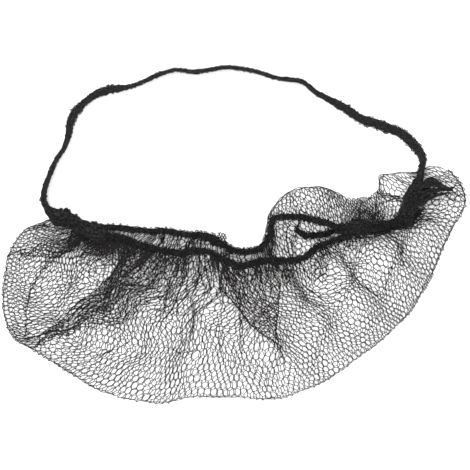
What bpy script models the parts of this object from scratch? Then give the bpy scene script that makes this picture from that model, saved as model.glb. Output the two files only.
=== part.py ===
"""Beard net lying flat: a gathered net pouch, two elastic bands round its mouth and an elastic head loop.

Metres, +Z up, +X to the wearer's left as it lies. The part rests on the plane z = 0, centred on the origin.
The pouch is one wall folded into a bag. A cross section runs from the back lip out over a crest, back in
underneath to the outer fold, and over the top to the front lip. Every piece reads the same table of sections.
"""

import math
from collections import namedtuple

import bmesh
import bpy
import numpy as np
from mathutils import Vector

# Sizes of the whole net
NET_WIDTH = 0.233  # across the pouch, fold to fold
POUCH_REACH = 0.090  # from the mouth line down to the bottom fold
BILLOW_REACH = 0.0295  # from the mouth line up to the top of the net behind the mouth
LOOP_REACH = 0.078  # from the mouth line up to the head loop's middle line
POUCH_HEIGHT = 0.012  # highest the front wall stands

# Sizes of the net wall
NET_WALL = 0.001
STRAND_WIDTH = 0.0026
SMALLEST_GAP = 0.0034  # a mesh that would open less than this stays closed

# Sizes of the elastic
BAND_WIDTH = 0.0035
BAND_THICKNESS = 0.0018
LOOP_WIDTH = 0.0044
LOOP_THICKNESS = 0.0017
TAIL_WIDTH = 0.0030
TAIL_THICKNESS = 0.0016

# Sizes of the gathered ends
GATHER_HEIGHT = 0.0042
TUFT_LENGTH = 0.0130
TUFT_WIDTH = 0.0080
TUFT_HEIGHT = 0.0030
PLEAT_DEPTH = 0.0005

# Clearances
SEAM_GAP = 0.0003  # between two pieces that are sewn together
LAYER_GAP = 0.0005  # between two layers of net

# Heights that follow from the walls, all at the middle of a wall
FLOOR_LEVEL = NET_WALL / 2
LOW_LEVEL = FLOOR_LEVEL + NET_WALL + LAYER_GAP
HEM = BAND_WIDTH / 2 + 2 * SEAM_GAP  # level strip of net under a band
MOUTH_LINE = (POUCH_REACH - LOOP_REACH - LOOP_THICKNESS / 2) / 2  # its Y, with the part centred on the origin

# How the pouch is divided into meshes
NET_COLUMNS = 17
BILLOW_ROWS = 1
UNDER_ROWS = 3
FRONT_ROWS = 4
NET_ROWS = BILLOW_ROWS + UNDER_ROWS + FRONT_ROWS

# Counts and powers that set how finely and how roundly things are drawn
BAND_STEPS = 56
STRAP_SIDES = 8
GATHER_SIDES = 12
GATHER_RINGS = 6
CORNER_POWER = 0.45  # of a strap's or gather's section: 1 is an oval, 0 a square
FOLD_POWER = 2.4  # of the front wall's curve from the lip down to the outer fold: 2 is an oval

# One row for each cross section, from the left gather round to the right one. X is a share of half
# NET_WIDTH. Y is a share of BILLOW_REACH above the mouth line and of POUCH_REACH below it. crest_x and
# crest_y are how far the net stands out behind the back lip. Lifts and swells are shares of the height
# above LOW_LEVEL. Turns are degrees of each band about its own line.
Section = namedtuple(
    "Section",
    "back_x back_y crest_x crest_y fold_x fold_y front_x front_y"
    " back_lift front_lift swell billow back_turn front_turn",
)
SECTIONS = (
    Section(-0.747, 0.12, 0.00, 0.00, -0.794, -0.01, -0.730, 0.00, 0.00, 0.02, 0.00, 0.00, 0, 0),
    Section(-0.734, 0.10, 0.00, 0.00, -0.901, -0.03, -0.708, -0.01, 0.00, 0.02, 0.02, 0.00, 0, 0),
    Section(-0.712, 0.07, 0.00, 0.00, -0.970, -0.16, -0.682, -0.03, 0.00, 0.02, 0.30, 0.00, 0, 0),
    Section(-0.682, 0.05, 0.00, 0.00, -0.991, -0.31, -0.652, -0.04, 0.00, 0.02, 0.56, 0.00, 0, 0),
    Section(-0.648, 0.02, 0.00, 0.00, -0.996, -0.49, -0.618, -0.05, 0.02, 0.03, 0.70, 0.00, 0, 0),
    Section(-0.609, 0.00, 0.00, 0.00, -0.944, -0.64, -0.579, -0.056, 0.04, 0.06, 0.75, 0.00, 0, 0),
    Section(-0.562, -0.02, 0.00, 0.00, -0.833, -0.73, -0.524, -0.068, 0.08, 0.14, 0.70, 0.00, 0, 0),
    Section(-0.502, -0.02, 0.00, 0.00, -0.712, -0.83, -0.464, -0.08, 0.12, 0.26, 0.60, 0.00, 0, 0),
    Section(-0.438, -0.03, 0.00, 0.00, -0.584, -0.93, -0.395, -0.12, 0.16, 0.40, 0.50, 0.00, 0, 0),
    Section(-0.361, -0.04, 0.00, 0.00, -0.446, -0.98, -0.322, -0.14, 0.20, 0.52, 0.40, 0.00, 0, 0),
    Section(-0.283, -0.04, 0.00, 0.00, -0.305, -1.00, -0.249, -0.16, 0.22, 0.60, 0.35, 0.00, 0, 0),
    Section(-0.202, -0.06, 0.00, 0.00, -0.189, -0.97, -0.180, -0.15, 0.24, 0.64, 0.30, 0.00, 0, 0),
    Section(-0.120, -0.07, 0.00, 0.00, -0.069, -0.97, -0.116, -0.15, 0.24, 0.64, 0.30, 0.00, 0, 0),
    Section(-0.056, -0.11, 0.00, 0.00, 0.052, -0.97, -0.052, -0.19, 0.22, 0.64, 0.30, 0.00, 0, 0),
    Section(0.017, -0.15, 0.00, 0.00, 0.163, -0.98, 0.030, -0.23, 0.20, 0.64, 0.30, 0.00, 0, 0),
    Section(0.103, -0.14, 0.00, 0.00, 0.279, -0.94, 0.120, -0.20, 0.24, 0.62, 0.30, 0.00, 0, 0),
    Section(0.155, -0.06, -0.02, 0.00, 0.403, -0.87, 0.210, -0.20, 0.30, 0.58, 0.30, 0.02, 0, 0),
    Section(0.167, 0.08, -0.01, 0.09, 0.524, -0.76, 0.296, -0.19, 0.33, 0.52, 0.35, 0.10, 0, 0),
    Section(0.275, 0.12, -0.03, 0.40, 0.652, -0.63, 0.352, -0.13, 0.32, 0.43, 0.45, 0.22, 0, 0),
    Section(0.378, 0.03, 0.00, 0.55, 0.755, -0.50, 0.429, -0.09, 0.26, 0.32, 0.55, 0.24, 0, 0),
    Section(0.464, -0.02, 0.02, 0.47, 0.841, -0.32, 0.476, -0.07, 0.18, 0.22, 0.65, 0.24, 0, 0),
    Section(0.528, 0.03, 0.02, 0.39, 0.893, -0.17, 0.536, -0.04, 0.10, 0.13, 0.70, 0.24, 0, 0),
    Section(0.605, 0.00, 0.01, 0.53, 0.936, -0.05, 0.614, -0.03, 0.06, 0.08, 0.60, 0.22, 78, 78),
    Section(0.682, 0.05, -0.06, 0.73, 0.970, 0.09, 0.697, -0.01, 0.04, 0.05, 0.45, 0.20, 78, 78),
    Section(0.721, 0.19, -0.05, 0.61, 0.998, 0.32, 0.755, 0.09, 0.02, 0.04, 0.32, 0.16, 0, 0),
    Section(0.747, 0.41, -0.03, 0.42, 0.996, 0.53, 0.785, 0.31, 0.02, 0.04, 0.22, 0.10, 0, 0),
    Section(0.768, 0.59, 0.00, 0.25, 0.970, 0.75, 0.807, 0.53, 0.02, 0.04, 0.12, 0.04, 0, 0),
    Section(0.785, 0.75, 0.02, 0.12, 0.923, 0.97, 0.815, 0.71, 0.02, 0.04, 0.05, 0.00, 0, 0),
)
LAST_ROW = len(SECTIONS) - 1

# Main pleats and pinches pressed up in the front wall: X and Y as above, the width as a share of
# POUCH_REACH and the height as a share of POUCH_HEIGHT.
Pleat = namedtuple("Pleat", "from_x from_y to_x to_y width height")
PLEATS = (
    Pleat(-0.35, -0.25, -0.88, -0.60, 0.060, 0.16),  # wide diagonal pleat
    Pleat(-0.84, -0.19, -0.87, -0.51, 0.045, 0.12),
    Pleat(-0.06, -0.24, -0.06, -0.37, 0.040, 0.14),  # short pinch under the front band
    Pleat(-0.05, -0.37, 0.19, -0.68, 0.040, 0.12),
    Pleat(0.18, -0.26, 0.19, -0.69, 0.045, 0.15),
    Pleat(-0.19, -0.32, -0.36, -0.54, 0.040, 0.10),
    Pleat(-0.16, -0.42, -0.30, -0.68, 0.040, 0.10),
    Pleat(0.68, -0.18, 0.63, -0.41, 0.040, 0.10),
    Pleat(0.86, 0.32, 0.87, -0.09, 0.040, 0.08),
)

# Head loop, from the left gather over the top to the right one: X as above, Y as a share of LOOP_REACH,
# the ribbon's turn about its own line in degrees, and how far its ends climb, as a share of GATHER_HEIGHT.
LoopPoint = namedtuple("LoopPoint", "x y turn climb")
LOOP_POINTS = (
    LoopPoint(-0.807, 0.096, 0, 0.62),
    LoopPoint(-0.815, 0.135, 20, 0.42),
    LoopPoint(-0.818, 0.192, 35, 0.10),
    LoopPoint(-0.803, 0.269, 40, 0.00),
    LoopPoint(-0.781, 0.346, 55, 0.00),
    LoopPoint(-0.760, 0.417, 35, 0.00),
    LoopPoint(-0.730, 0.481, 50, 0.00),
    LoopPoint(-0.712, 0.558, 45, 0.00),
    LoopPoint(-0.704, 0.635, 30, 0.00),
    LoopPoint(-0.691, 0.692, 10, 0.00),
    LoopPoint(-0.657, 0.756, 0, 0.00),
    LoopPoint(-0.614, 0.808, -5, 0.00),
    LoopPoint(-0.567, 0.846, 0, 0.00),
    LoopPoint(-0.515, 0.865, 10, 0.00),
    LoopPoint(-0.459, 0.875, 40, 0.00),
    LoopPoint(-0.399, 0.904, 60, 0.00),
    LoopPoint(-0.335, 0.949, 70, 0.00),
    LoopPoint(-0.292, 0.971, 60, 0.00),
    LoopPoint(-0.245, 0.987, 68, 0.00),
    LoopPoint(-0.176, 0.974, 65, 0.00),
    LoopPoint(-0.103, 0.987, 75, 0.00),
    LoopPoint(-0.052, 1.000, 78, 0.00),
    LoopPoint(0.004, 1.000, 75, 0.00),
    LoopPoint(0.099, 0.974, 68, 0.00),
    LoopPoint(0.189, 0.933, 65, 0.00),
    LoopPoint(0.279, 0.917, 60, 0.00),
    LoopPoint(0.313, 0.891, 62, 0.00),
    LoopPoint(0.356, 0.837, 40, 0.00),
    LoopPoint(0.421, 0.788, 20, 0.00),
    LoopPoint(0.498, 0.721, 0, 0.00),
    LoopPoint(0.549, 0.673, 0, 0.00),
    LoopPoint(0.635, 0.628, -5, 0.00),
    LoopPoint(0.712, 0.587, 0, 0.00),
    LoopPoint(0.764, 0.519, 15, 0.05),
    LoopPoint(0.803, 0.452, 40, 0.25),
    LoopPoint(0.811, 0.394, 50, 0.62),
    LoopPoint(0.805, 0.345, 30, 0.72),
)

# Loose end of the elastic inside the mouth: X and Y as in the sections, and its climb as in the head loop.
TailPoint = namedtuple("TailPoint", "x y turn climb")
TAIL_POINTS = (
    TailPoint(0.266, -0.030, 0, 0.02),
    TailPoint(0.305, -0.062, 8, 0.02),
    TailPoint(0.356, -0.062, 5, 0.04),
    TailPoint(0.402, -0.052, 0, 0.08),
    TailPoint(0.430, -0.036, 0, 0.16),
)

# The bunch of net that stands out beside the right gather: how far along it each ring is, its width and
# its height, as shares of TUFT_LENGTH, TUFT_WIDTH and TUFT_HEIGHT.
TuftRing = namedtuple("TuftRing", "out width height")
TUFT_RINGS = (
    TuftRing(0.00, 0.80, 0.80),
    TuftRing(0.22, 1.00, 1.00),
    TuftRing(0.45, 0.78, 0.90),
    TuftRing(0.70, 0.42, 0.70),
    TuftRing(0.90, 0.20, 0.50),
    TuftRing(1.00, 0.08, 0.35),
)

# Places between rows of SECTIONS: where the gathered ends stop and the two bands begin, and the tuft's root
LEFT_GATHER_END = 5.4
RIGHT_GATHER_END = 23.6
TUFT_PLACE = 26.3
TUFT_DIRECTION = math.radians(-6)  # of the tuft, from +X


def spline(values, place):
    """The value at a place, counted in rows, on a smooth curve through rows of values."""
    last = len(values) - 1
    row = min(max(int(place), 0), last - 1)
    part = place - row
    before = values[max(row - 1, 0)]
    start = values[row]
    end = values[row + 1]
    after = values[min(row + 2, last)]
    bend = 2 * before - 5 * start + 4 * end - after
    twist = 3 * start - before - 3 * end + after
    return start + (end - before) / 2 * part + bend / 2 * part**2 + twist / 2 * part**3


def across(share):
    return share * NET_WIDTH / 2


def along(share):
    """Y of a share of the reach above or below the mouth line."""
    return MOUTH_LINE + share * (BILLOW_REACH if share > 0 else POUCH_REACH)


def height(share):
    return LOW_LEVEL + share * (POUCH_HEIGHT - LOW_LEVEL)


def placed(row):
    """A row of SECTIONS in metres. The net reaches the back band's outer side where nothing billows."""
    overhang = (BAND_WIDTH - NET_WALL) / 2
    back_x = across(row.back_x)
    back_y = along(row.back_y)
    return np.array([
        back_x,
        back_y,
        back_x + across(row.crest_x),
        back_y + overhang + row.crest_y * BILLOW_REACH,
        across(row.fold_x),
        along(row.fold_y),
        across(row.front_x),
        along(row.front_y),
        height(row.back_lift),
        height(row.front_lift),
        row.swell * (POUCH_HEIGHT - LOW_LEVEL),
        row.billow * (POUCH_HEIGHT - LOW_LEVEL),
        math.radians(row.back_turn),
        math.radians(row.front_turn),
    ])


PLACED = [placed(row) for row in SECTIONS]


def section_at(place):
    return Section(*spline(PLACED, place))


def pleat_height(x, y):
    """How far the pleats press the front wall up over a point."""
    rise = 0
    for pleat in PLEATS:
        start = np.array([across(pleat.from_x), along(pleat.from_y)])
        run = np.array([across(pleat.to_x), along(pleat.to_y)]) - start
        part = np.clip(np.dot([x, y] - start, run) / np.dot(run, run), 0, 1)
        away = np.linalg.norm([x, y] - start - part * run) / (pleat.width * POUCH_REACH)
        taper = 1 - part / 2  # a pleat runs out to half its height
        rise += pleat.height * POUCH_HEIGHT * taper * math.exp(-2 * away**2)
    return rise


def lip_point(place, side):
    section = section_at(place)
    if side == "back":
        return Vector((section.back_x, section.back_y, section.back_lift))
    return Vector((section.front_x, section.front_y, section.front_lift))


def level(vector):
    return Vector((vector.x, vector.y, 0))


def lip_direction(place, side):
    """The level direction along a lip, towards the next section."""
    reach = 0.25
    after = lip_point(min(place + reach, LAST_ROW), side)
    before = lip_point(max(place - reach, 0), side)
    return level(after - before).normalized()


def hem_share(place, side, edge):
    """The share of a wall that lies level under its band: a strip as wide as HEM, square to the lip."""
    run = Vector((*edge, 0)) - level(lip_point(place, side))
    least = 0.3  # where the wall nearly follows the lip
    square = max(least, run.normalized().cross(lip_direction(place, side)).length)
    hem = HEM / square
    return hem / (run.length + hem)


def over_top(lip, edge, out, hem, swell, pleated):
    """A point on a wall that runs from a lip, at out 0, over to the fold at its edge, at out 1."""
    x = lip.x + (edge[0] - lip.x) * out
    y = lip.y + (edge[1] - lip.y) * out
    free = max(0, (out - hem) / (1 - hem))
    rise = swell + (pleat_height(x, y) if pleated else 0)
    rounding = math.sqrt(max(0, 1 - free**FOLD_POWER))
    return Vector((x, y, LOW_LEVEL + (lip.z - LOW_LEVEL) * rounding + rise * math.sin(math.pi * free) ** 2))


def underneath(start, end, part):
    """A point on the wall that lies on the ground between two folds, which it rounds up to meet."""
    run = math.dist(start, end)
    curl = 3 * LOW_LEVEL
    from_fold = min(part, 1 - part) * run
    lifted = max(0, 1 - from_fold / curl) ** 2
    x = start[0] + (end[0] - start[0]) * part
    y = start[1] + (end[1] - start[1]) * part
    return Vector((x, y, FLOOR_LEVEL + (LOW_LEVEL - FLOOR_LEVEL) * lifted))


def net_point(column, row):
    """A point of the net. Row -1 is the back lip, 0 its hem, NET_ROWS the front hem, one more its lip."""
    place = column / NET_COLUMNS * LAST_ROW
    section = section_at(place)
    crest = (section.crest_x, section.crest_y)
    fold = (section.fold_x, section.fold_y)
    if row <= BILLOW_ROWS:
        hem = hem_share(place, "back", crest)
        out = hem * (row + 1) if row < 0 else hem + (1 - hem) * row / BILLOW_ROWS
        return over_top(lip_point(place, "back"), crest, out, hem, section.billow, False)
    row -= BILLOW_ROWS
    if row <= UNDER_ROWS:
        return underneath(crest, fold, row / UNDER_ROWS)
    row -= UNDER_ROWS
    hem = hem_share(place, "front", fold)
    out = 1 - (1 - hem) * row / FRONT_ROWS if row <= FRONT_ROWS else hem * (1 - (row - FRONT_ROWS))
    return over_top(lip_point(place, "front"), fold, out, hem, section.swell, True)


def zigzag(half_column, row):
    """How far a corner of the meshes stands above or below the line between two rows."""
    if row in (0, NET_ROWS):
        return 0
    depth = 1 / 6
    if row in (BILLOW_ROWS, BILLOW_ROWS + UNDER_ROWS):
        depth = 1 / 20  # nearly straight along the crest and the outer fold
    return depth if (half_column + row) % 2 == 0 else -depth


class Net:
    """The pouch's wall as one open surface of six-sided meshes, each with its gap left open."""

    def __init__(self):
        self.mesh = bmesh.new()
        self.made = {}
        self.gaps = 0

    def point(self, column, row):
        key = (round(column, 4), round(row, 4))
        if key not in self.made:
            self.made[key] = self.mesh.verts.new(net_point(column, row))
        return self.made[key]

    def corner(self, half_column, row):
        return half_column / 2, row + zigzag(half_column, row)

    def border(self, centre, row):
        """Corners of the mesh at a centre, in half columns, anticlockwise on the outer side."""
        reach = [h for h in (centre - 1, centre, centre + 1) if 0 <= h <= 2 * NET_COLUMNS]
        lower = [self.corner(h, row) for h in reach]
        upper = [self.corner(h, row + 1) for h in reversed(reach)]
        return lower + upper

    def add_mesh(self, centre, row):
        corners = self.border(centre, row)
        following = corners[1:] + corners[:1]
        middles = [((a[0] + b[0]) / 2, (a[1] + b[1]) / 2) for a, b in zip(corners, following)]
        heart = (sum(c[0] for c in corners) / len(corners), row + 0.5)
        shrink = self.opening(heart, corners)
        if shrink is None:
            rim = [self.point(*c) for pair in zip(corners, middles) for c in pair]
            hub = self.point(*heart)
            for here, there in zip(rim, rim[1:] + rim[:1]):
                self.mesh.faces.new((here, there, hub))
            return
        self.gaps += 1
        inner = [
            self.point(heart[0] + (c[0] - heart[0]) * shrink[0], heart[1] + (c[1] - heart[1]) * shrink[1])
            for c in corners
        ]
        for k, middle in enumerate(middles):
            start = self.point(*corners[k])
            end = self.point(*following[k])
            turn = self.point(*middle)
            inner_end = inner[(k + 1) % len(inner)]
            self.mesh.faces.new((start, turn, inner[k]))
            self.mesh.faces.new((turn, inner_end, inner[k]))
            self.mesh.faces.new((turn, end, inner_end))

    def opening(self, heart, corners):
        """The gap's share of the mesh across and along, or None where the net is too bunched to open."""
        if len(corners) < 6:
            return None
        lows = [min(c[axis] for c in corners) for axis in (0, 1)]
        highs = [max(c[axis] for c in corners) for axis in (0, 1)]
        wide = (net_point(highs[0], heart[1]) - net_point(lows[0], heart[1])).length
        tall = (net_point(heart[0], highs[1]) - net_point(heart[0], lows[1])).length
        slant = 1.15  # a sloping side takes more of the mesh's length than a straight one does of its width
        if min(wide, tall / slant) - STRAND_WIDTH < SMALLEST_GAP:
            return None
        return 1 - STRAND_WIDTH / wide, 1 - slant * STRAND_WIDTH / tall

    def add_hem(self, hem_row, lip_row):
        for quarter in range(4 * NET_COLUMNS):
            here = quarter / 4
            there = (quarter + 1) / 4
            ring = [(here, lip_row), (there, lip_row), (there, hem_row), (here, hem_row)]
            if lip_row > hem_row:
                ring.reverse()
            self.mesh.faces.new([self.point(*p) for p in ring])

    def build(self):
        for row in range(NET_ROWS):
            for centre in range(2 * NET_COLUMNS + 1):
                if (centre + row) % 2 == 1:
                    self.add_mesh(centre, row)
        self.add_hem(0, -1)
        self.add_hem(NET_ROWS, NET_ROWS + 1)
        return self.mesh


def new_object(name, mesh, material, group):
    data = bpy.data.meshes.new(name)
    mesh.to_mesh(data)
    mesh.free()
    data.materials.append(material)
    piece = bpy.data.objects.new(name, data)
    group.objects.link(piece)
    return piece


def make_pouch(material, group):
    net = Net()
    mesh = net.build()
    bmesh.ops.recalc_face_normals(mesh, faces=mesh.faces)
    pouch = new_object("net_pouch", mesh, material, group)
    wall = pouch.modifiers.new("wall", "SOLIDIFY")
    wall.thickness = NET_WALL
    wall.offset = 0
    return pouch


def squared(value):
    """A sine or cosine pushed out towards 1 or -1, which squares an oval off."""
    return math.copysign(abs(value) ** CORNER_POWER, value)


def ring_points(centre, sideways, upward, half_width, half_height, sides, pleats=0.0):
    """A rounded section of a strap or of bunched net, with every other corner drawn in by pleats."""
    points = []
    for k in range(sides):
        angle = 2 * math.pi * (k + 0.5) / sides
        drawn = pleats * (k % 2)
        out = sideways * squared(math.cos(angle)) * (half_width - drawn)
        up = upward * squared(math.sin(angle)) * (half_height - drawn)
        points.append(centre + out + up)
    return points


def loft(name, rings, material, group):
    """A closed solid through rings of as many points each."""
    mesh = bmesh.new()
    loops = [[mesh.verts.new(p) for p in ring] for ring in rings]
    sides = len(loops[0])
    for near, far in zip(loops, loops[1:]):
        for k in range(sides):
            mesh.faces.new((near[k], near[(k + 1) % sides], far[(k + 1) % sides], far[k]))
    mesh.faces.new(list(reversed(loops[0])))
    mesh.faces.new(loops[-1])
    bmesh.ops.recalc_face_normals(mesh, faces=mesh.faces)
    piece = new_object(name, mesh, material, group)
    piece.data.shade_smooth()
    piece.data.set_sharp_from_angle(angle=math.radians(50))
    return piece


def frames(centres):
    """The direction along a line at each of its points, and the level direction across it."""
    tilt = 0.3  # how much a strap's sections lean with its climb
    for k, centre in enumerate(centres):
        ahead = centres[min(k + 1, len(centres) - 1)] - centres[max(k - 1, 0)]
        ahead.z *= tilt
        ahead.normalize()
        sideways = ahead.cross(Vector((0, 0, 1))).normalized()
        yield centre, ahead, sideways


def standing_height(width, thickness, turn):
    """Half the height of a strap that is turned about its own line."""
    return (width * abs(math.sin(turn)) + thickness * abs(math.cos(turn))) / 2


def make_strap(name, feet, turns, width, thickness, material, group):
    """A flat knitted strap whose lowest side follows the points in feet."""
    centres = []
    for foot, turn in zip(feet, turns):
        centres.append(foot + Vector((0, 0, standing_height(width, thickness, turn))))
    rings = []
    for (centre, ahead, sideways), turn in zip(frames(centres), turns):
        upward = sideways.cross(ahead)
        wide = sideways * math.cos(turn) + upward * math.sin(turn)
        thick = upward * math.cos(turn) - sideways * math.sin(turn)
        rings.append(ring_points(centre, wide, thick, width / 2, thickness / 2, STRAP_SIDES))
    return loft(name, rings, material, group)


def lip_foot(place, side):
    """Where a band's underside lies on the net's lip."""
    return lip_point(place, side) + Vector((0, 0, NET_WALL / 2 + SEAM_GAP))


def across_lips(place):
    """The level direction from the back lip to the front one."""
    return level(lip_point(place, "front") - lip_point(place, "back")).normalized()


def band_end(gather_end, side, way):
    """The place where a band's square end just clears a gather's slanting one, which way is 1 or -1."""
    lean = abs(lip_direction(gather_end, side).dot(across_lips(gather_end)))
    distance = (BAND_WIDTH / 2 * lean + 2 * SEAM_GAP) / math.sqrt(1 - lean**2)
    row_length = level(lip_point(gather_end + way, side) - lip_point(gather_end, side)).length
    return gather_end + way * distance / row_length


def make_lip_band(name, side, material, group):
    """The elastic along one lip, from just past the left gather to just short of the right one."""
    start = band_end(LEFT_GATHER_END, side, 1)
    end = band_end(RIGHT_GATHER_END, side, -1)
    places = [start + (end - start) * k / BAND_STEPS for k in range(BAND_STEPS + 1)]
    feet = [lip_foot(place, side) for place in places]
    turns = [getattr(section_at(place), side + "_turn") for place in places]
    return make_strap(name, feet, turns, BAND_WIDTH, BAND_THICKNESS, material, group)


def strap_feet(points, place_of):
    """Feet and turns at every point of a strap's table and halfway between them."""
    rows = [np.array([*place_of(p), p.climb * GATHER_HEIGHT, math.radians(p.turn)]) for p in points]
    at_rows = [spline(rows, k / 2) for k in range(2 * len(rows) - 1)]
    return [Vector(row[:3]) for row in at_rows], [row[3] for row in at_rows]


def make_head_loop(material, group):
    feet, turns = strap_feet(LOOP_POINTS, lambda p: (across(p.x), MOUTH_LINE + p.y * LOOP_REACH))
    return make_strap("head_loop", feet, turns, LOOP_WIDTH, LOOP_THICKNESS, material, group)


def make_tail(material, group):
    feet, turns = strap_feet(TAIL_POINTS, lambda p: (across(p.x), along(p.y)))
    for foot in feet:
        foot.z += NET_WALL + SEAM_GAP
    return make_strap("loose_tail", feet, turns, TAIL_WIDTH, TAIL_THICKNESS, material, group)


def gather_ring(place, fullness):
    """A section through bunched net and elastic, as wide as the two lips with their bands."""
    back = lip_foot(place, "back")
    front = lip_foot(place, "front")
    half_height = GATHER_HEIGHT * fullness / 2
    centre = level(back + front) / 2 + Vector((0, 0, max(back.z, front.z) + half_height))
    half_width = (level(back - front).length + BAND_WIDTH) / 2
    return centre, half_width, half_height


def make_gather(name, places, loop_end, material, group):
    """One gathered end of the pouch, from the end of the head loop along the two lips."""
    up = Vector((0, 0, 1))
    foot, turn, ahead = loop_end
    rise = standing_height(LOOP_WIDTH, LOOP_THICKNESS, turn)
    flat = (LOOP_WIDTH * abs(math.cos(turn)) + LOOP_THICKNESS * abs(math.sin(turn))) / 2
    rings = [ring_points(foot + ahead * SEAM_GAP + up * rise, ahead.cross(up), up, flat, rise, GATHER_SIDES)]
    side = 1 if places[0] < places[-1] else -1  # a left gather runs with the front lip on its right
    for k, place in enumerate(places):
        fullness = 0.8 + 0.2 * math.sin(2.1 * k)  # lumpy, about three rings to a lump
        centre, half_width, half_height = gather_ring(place, fullness)
        to_front = across_lips(place) * side
        ring = ring_points(centre, to_front, up, half_width, half_height, GATHER_SIDES, PLEAT_DEPTH)
        rings.append(ring)
    return loft(name, rings, material, group)


def loop_end(which):
    """The foot, the turn and the outward direction of one end of the head loop."""
    feet, turns = strap_feet(LOOP_POINTS, lambda p: (across(p.x), MOUTH_LINE + p.y * LOOP_REACH))
    if which == "left":
        feet.reverse()
        turns.reverse()
    ahead = feet[-1] - feet[-2]
    ahead.z = 0
    return feet[-1], turns[-1], ahead.normalized()


def front_height(point, within):
    """The highest that the front wall stands near a point."""
    first = BILLOW_ROWS + UNDER_ROWS
    steps = [(c / 4, first + r / 4) for c in range(4 * NET_COLUMNS + 1) for r in range(4 * FRONT_ROWS + 1)]
    near = [p.z for p in (net_point(*step) for step in steps) if level(p - point).length < within]
    return max(near)


def make_tuft(material, group):
    """The tuft points away from the front lip and lies on the pouch's right side."""
    up = Vector((0, 0, 1))
    outward = Vector((math.cos(TUFT_DIRECTION), math.sin(TUFT_DIRECTION), 0))
    root = level(lip_point(TUFT_PLACE, "front")) + outward * (BAND_WIDTH / 2 + 3 * SEAM_GAP)
    middle = root + outward * TUFT_LENGTH / 2
    foot = front_height(middle, (TUFT_LENGTH + TUFT_WIDTH) / 4) + NET_WALL / 2 + SEAM_GAP
    rings = []
    for ring in TUFT_RINGS:
        half_height = TUFT_HEIGHT * ring.height / 2
        half_width = TUFT_WIDTH * ring.width / 2
        centre = root + outward * ring.out * TUFT_LENGTH + up * (foot + half_height)
        pleats = min(PLEAT_DEPTH, half_height / 3, half_width / 3)
        sideways = outward.cross(up)
        rings.append(ring_points(centre, sideways, up, half_width, half_height, GATHER_SIDES, pleats))
    return loft("right_tuft", rings, material, group)


def make_material(name, colour, roughness):
    material = bpy.data.materials.new(name)
    material.use_nodes = True
    shader = material.node_tree.nodes["Principled BSDF"]
    shader.inputs["Base Color"].default_value = (*colour, 1)
    shader.inputs["Roughness"].default_value = roughness
    shader.inputs["Metallic"].default_value = 0
    return material


def build():
    for old in list(bpy.data.objects):
        bpy.data.objects.remove(old)
    group = bpy.data.collections.new("beard_net")
    bpy.context.scene.collection.children.link(group)
    net = make_material("black_nylon_net", (0.030, 0.028, 0.029), 0.55)
    bunched = make_material("bunched_nylon_net", (0.016, 0.016, 0.018), 0.80)
    elastic = make_material("knitted_elastic", (0.014, 0.014, 0.016), 0.85)
    make_pouch(net, group)
    make_lip_band("upper_lip_band", "back", elastic, group)
    make_lip_band("lower_lip_band", "front", elastic, group)
    make_head_loop(elastic, group)
    make_tail(elastic, group)
    parts = [k / GATHER_RINGS for k in range(GATHER_RINGS + 1)]
    left_places = [LEFT_GATHER_END * part for part in parts]
    right_places = [LAST_ROW - (LAST_ROW - RIGHT_GATHER_END) * part for part in parts]
    make_gather("left_gather", left_places, loop_end("left"), bunched, group)
    make_gather("right_gather", right_places, loop_end("right"), bunched, group)
    make_tuft(bunched, group)


build()
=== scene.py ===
import math

import bpy
import numpy as np
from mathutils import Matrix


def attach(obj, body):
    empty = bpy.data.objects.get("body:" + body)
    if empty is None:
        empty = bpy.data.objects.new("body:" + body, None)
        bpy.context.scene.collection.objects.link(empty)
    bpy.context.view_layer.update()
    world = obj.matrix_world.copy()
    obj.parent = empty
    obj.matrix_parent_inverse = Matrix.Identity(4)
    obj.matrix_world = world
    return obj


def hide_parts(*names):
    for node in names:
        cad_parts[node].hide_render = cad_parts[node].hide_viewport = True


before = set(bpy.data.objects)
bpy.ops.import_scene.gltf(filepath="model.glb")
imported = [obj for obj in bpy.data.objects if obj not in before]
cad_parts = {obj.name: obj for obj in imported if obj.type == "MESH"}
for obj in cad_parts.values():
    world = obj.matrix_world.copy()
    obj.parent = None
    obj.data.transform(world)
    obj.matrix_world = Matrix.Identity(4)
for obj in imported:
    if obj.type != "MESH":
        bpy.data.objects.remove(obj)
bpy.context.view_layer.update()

print("packed beard net loaded")

studio = {
    "cameraHeight": 1.2,
    "sensor": 36,
    "viewWidth": 0.235,  # metres of table across the picture
    "viewCentre": (0.0005, 0.000075),
    "floorSide": 2.4,
    "skyStrength": 1.75,
    "panelPower": 9.0,
    "panelSide": 0.9,
    "panelPlace": (-0.45, 0.55, 1.0),
}

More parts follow.
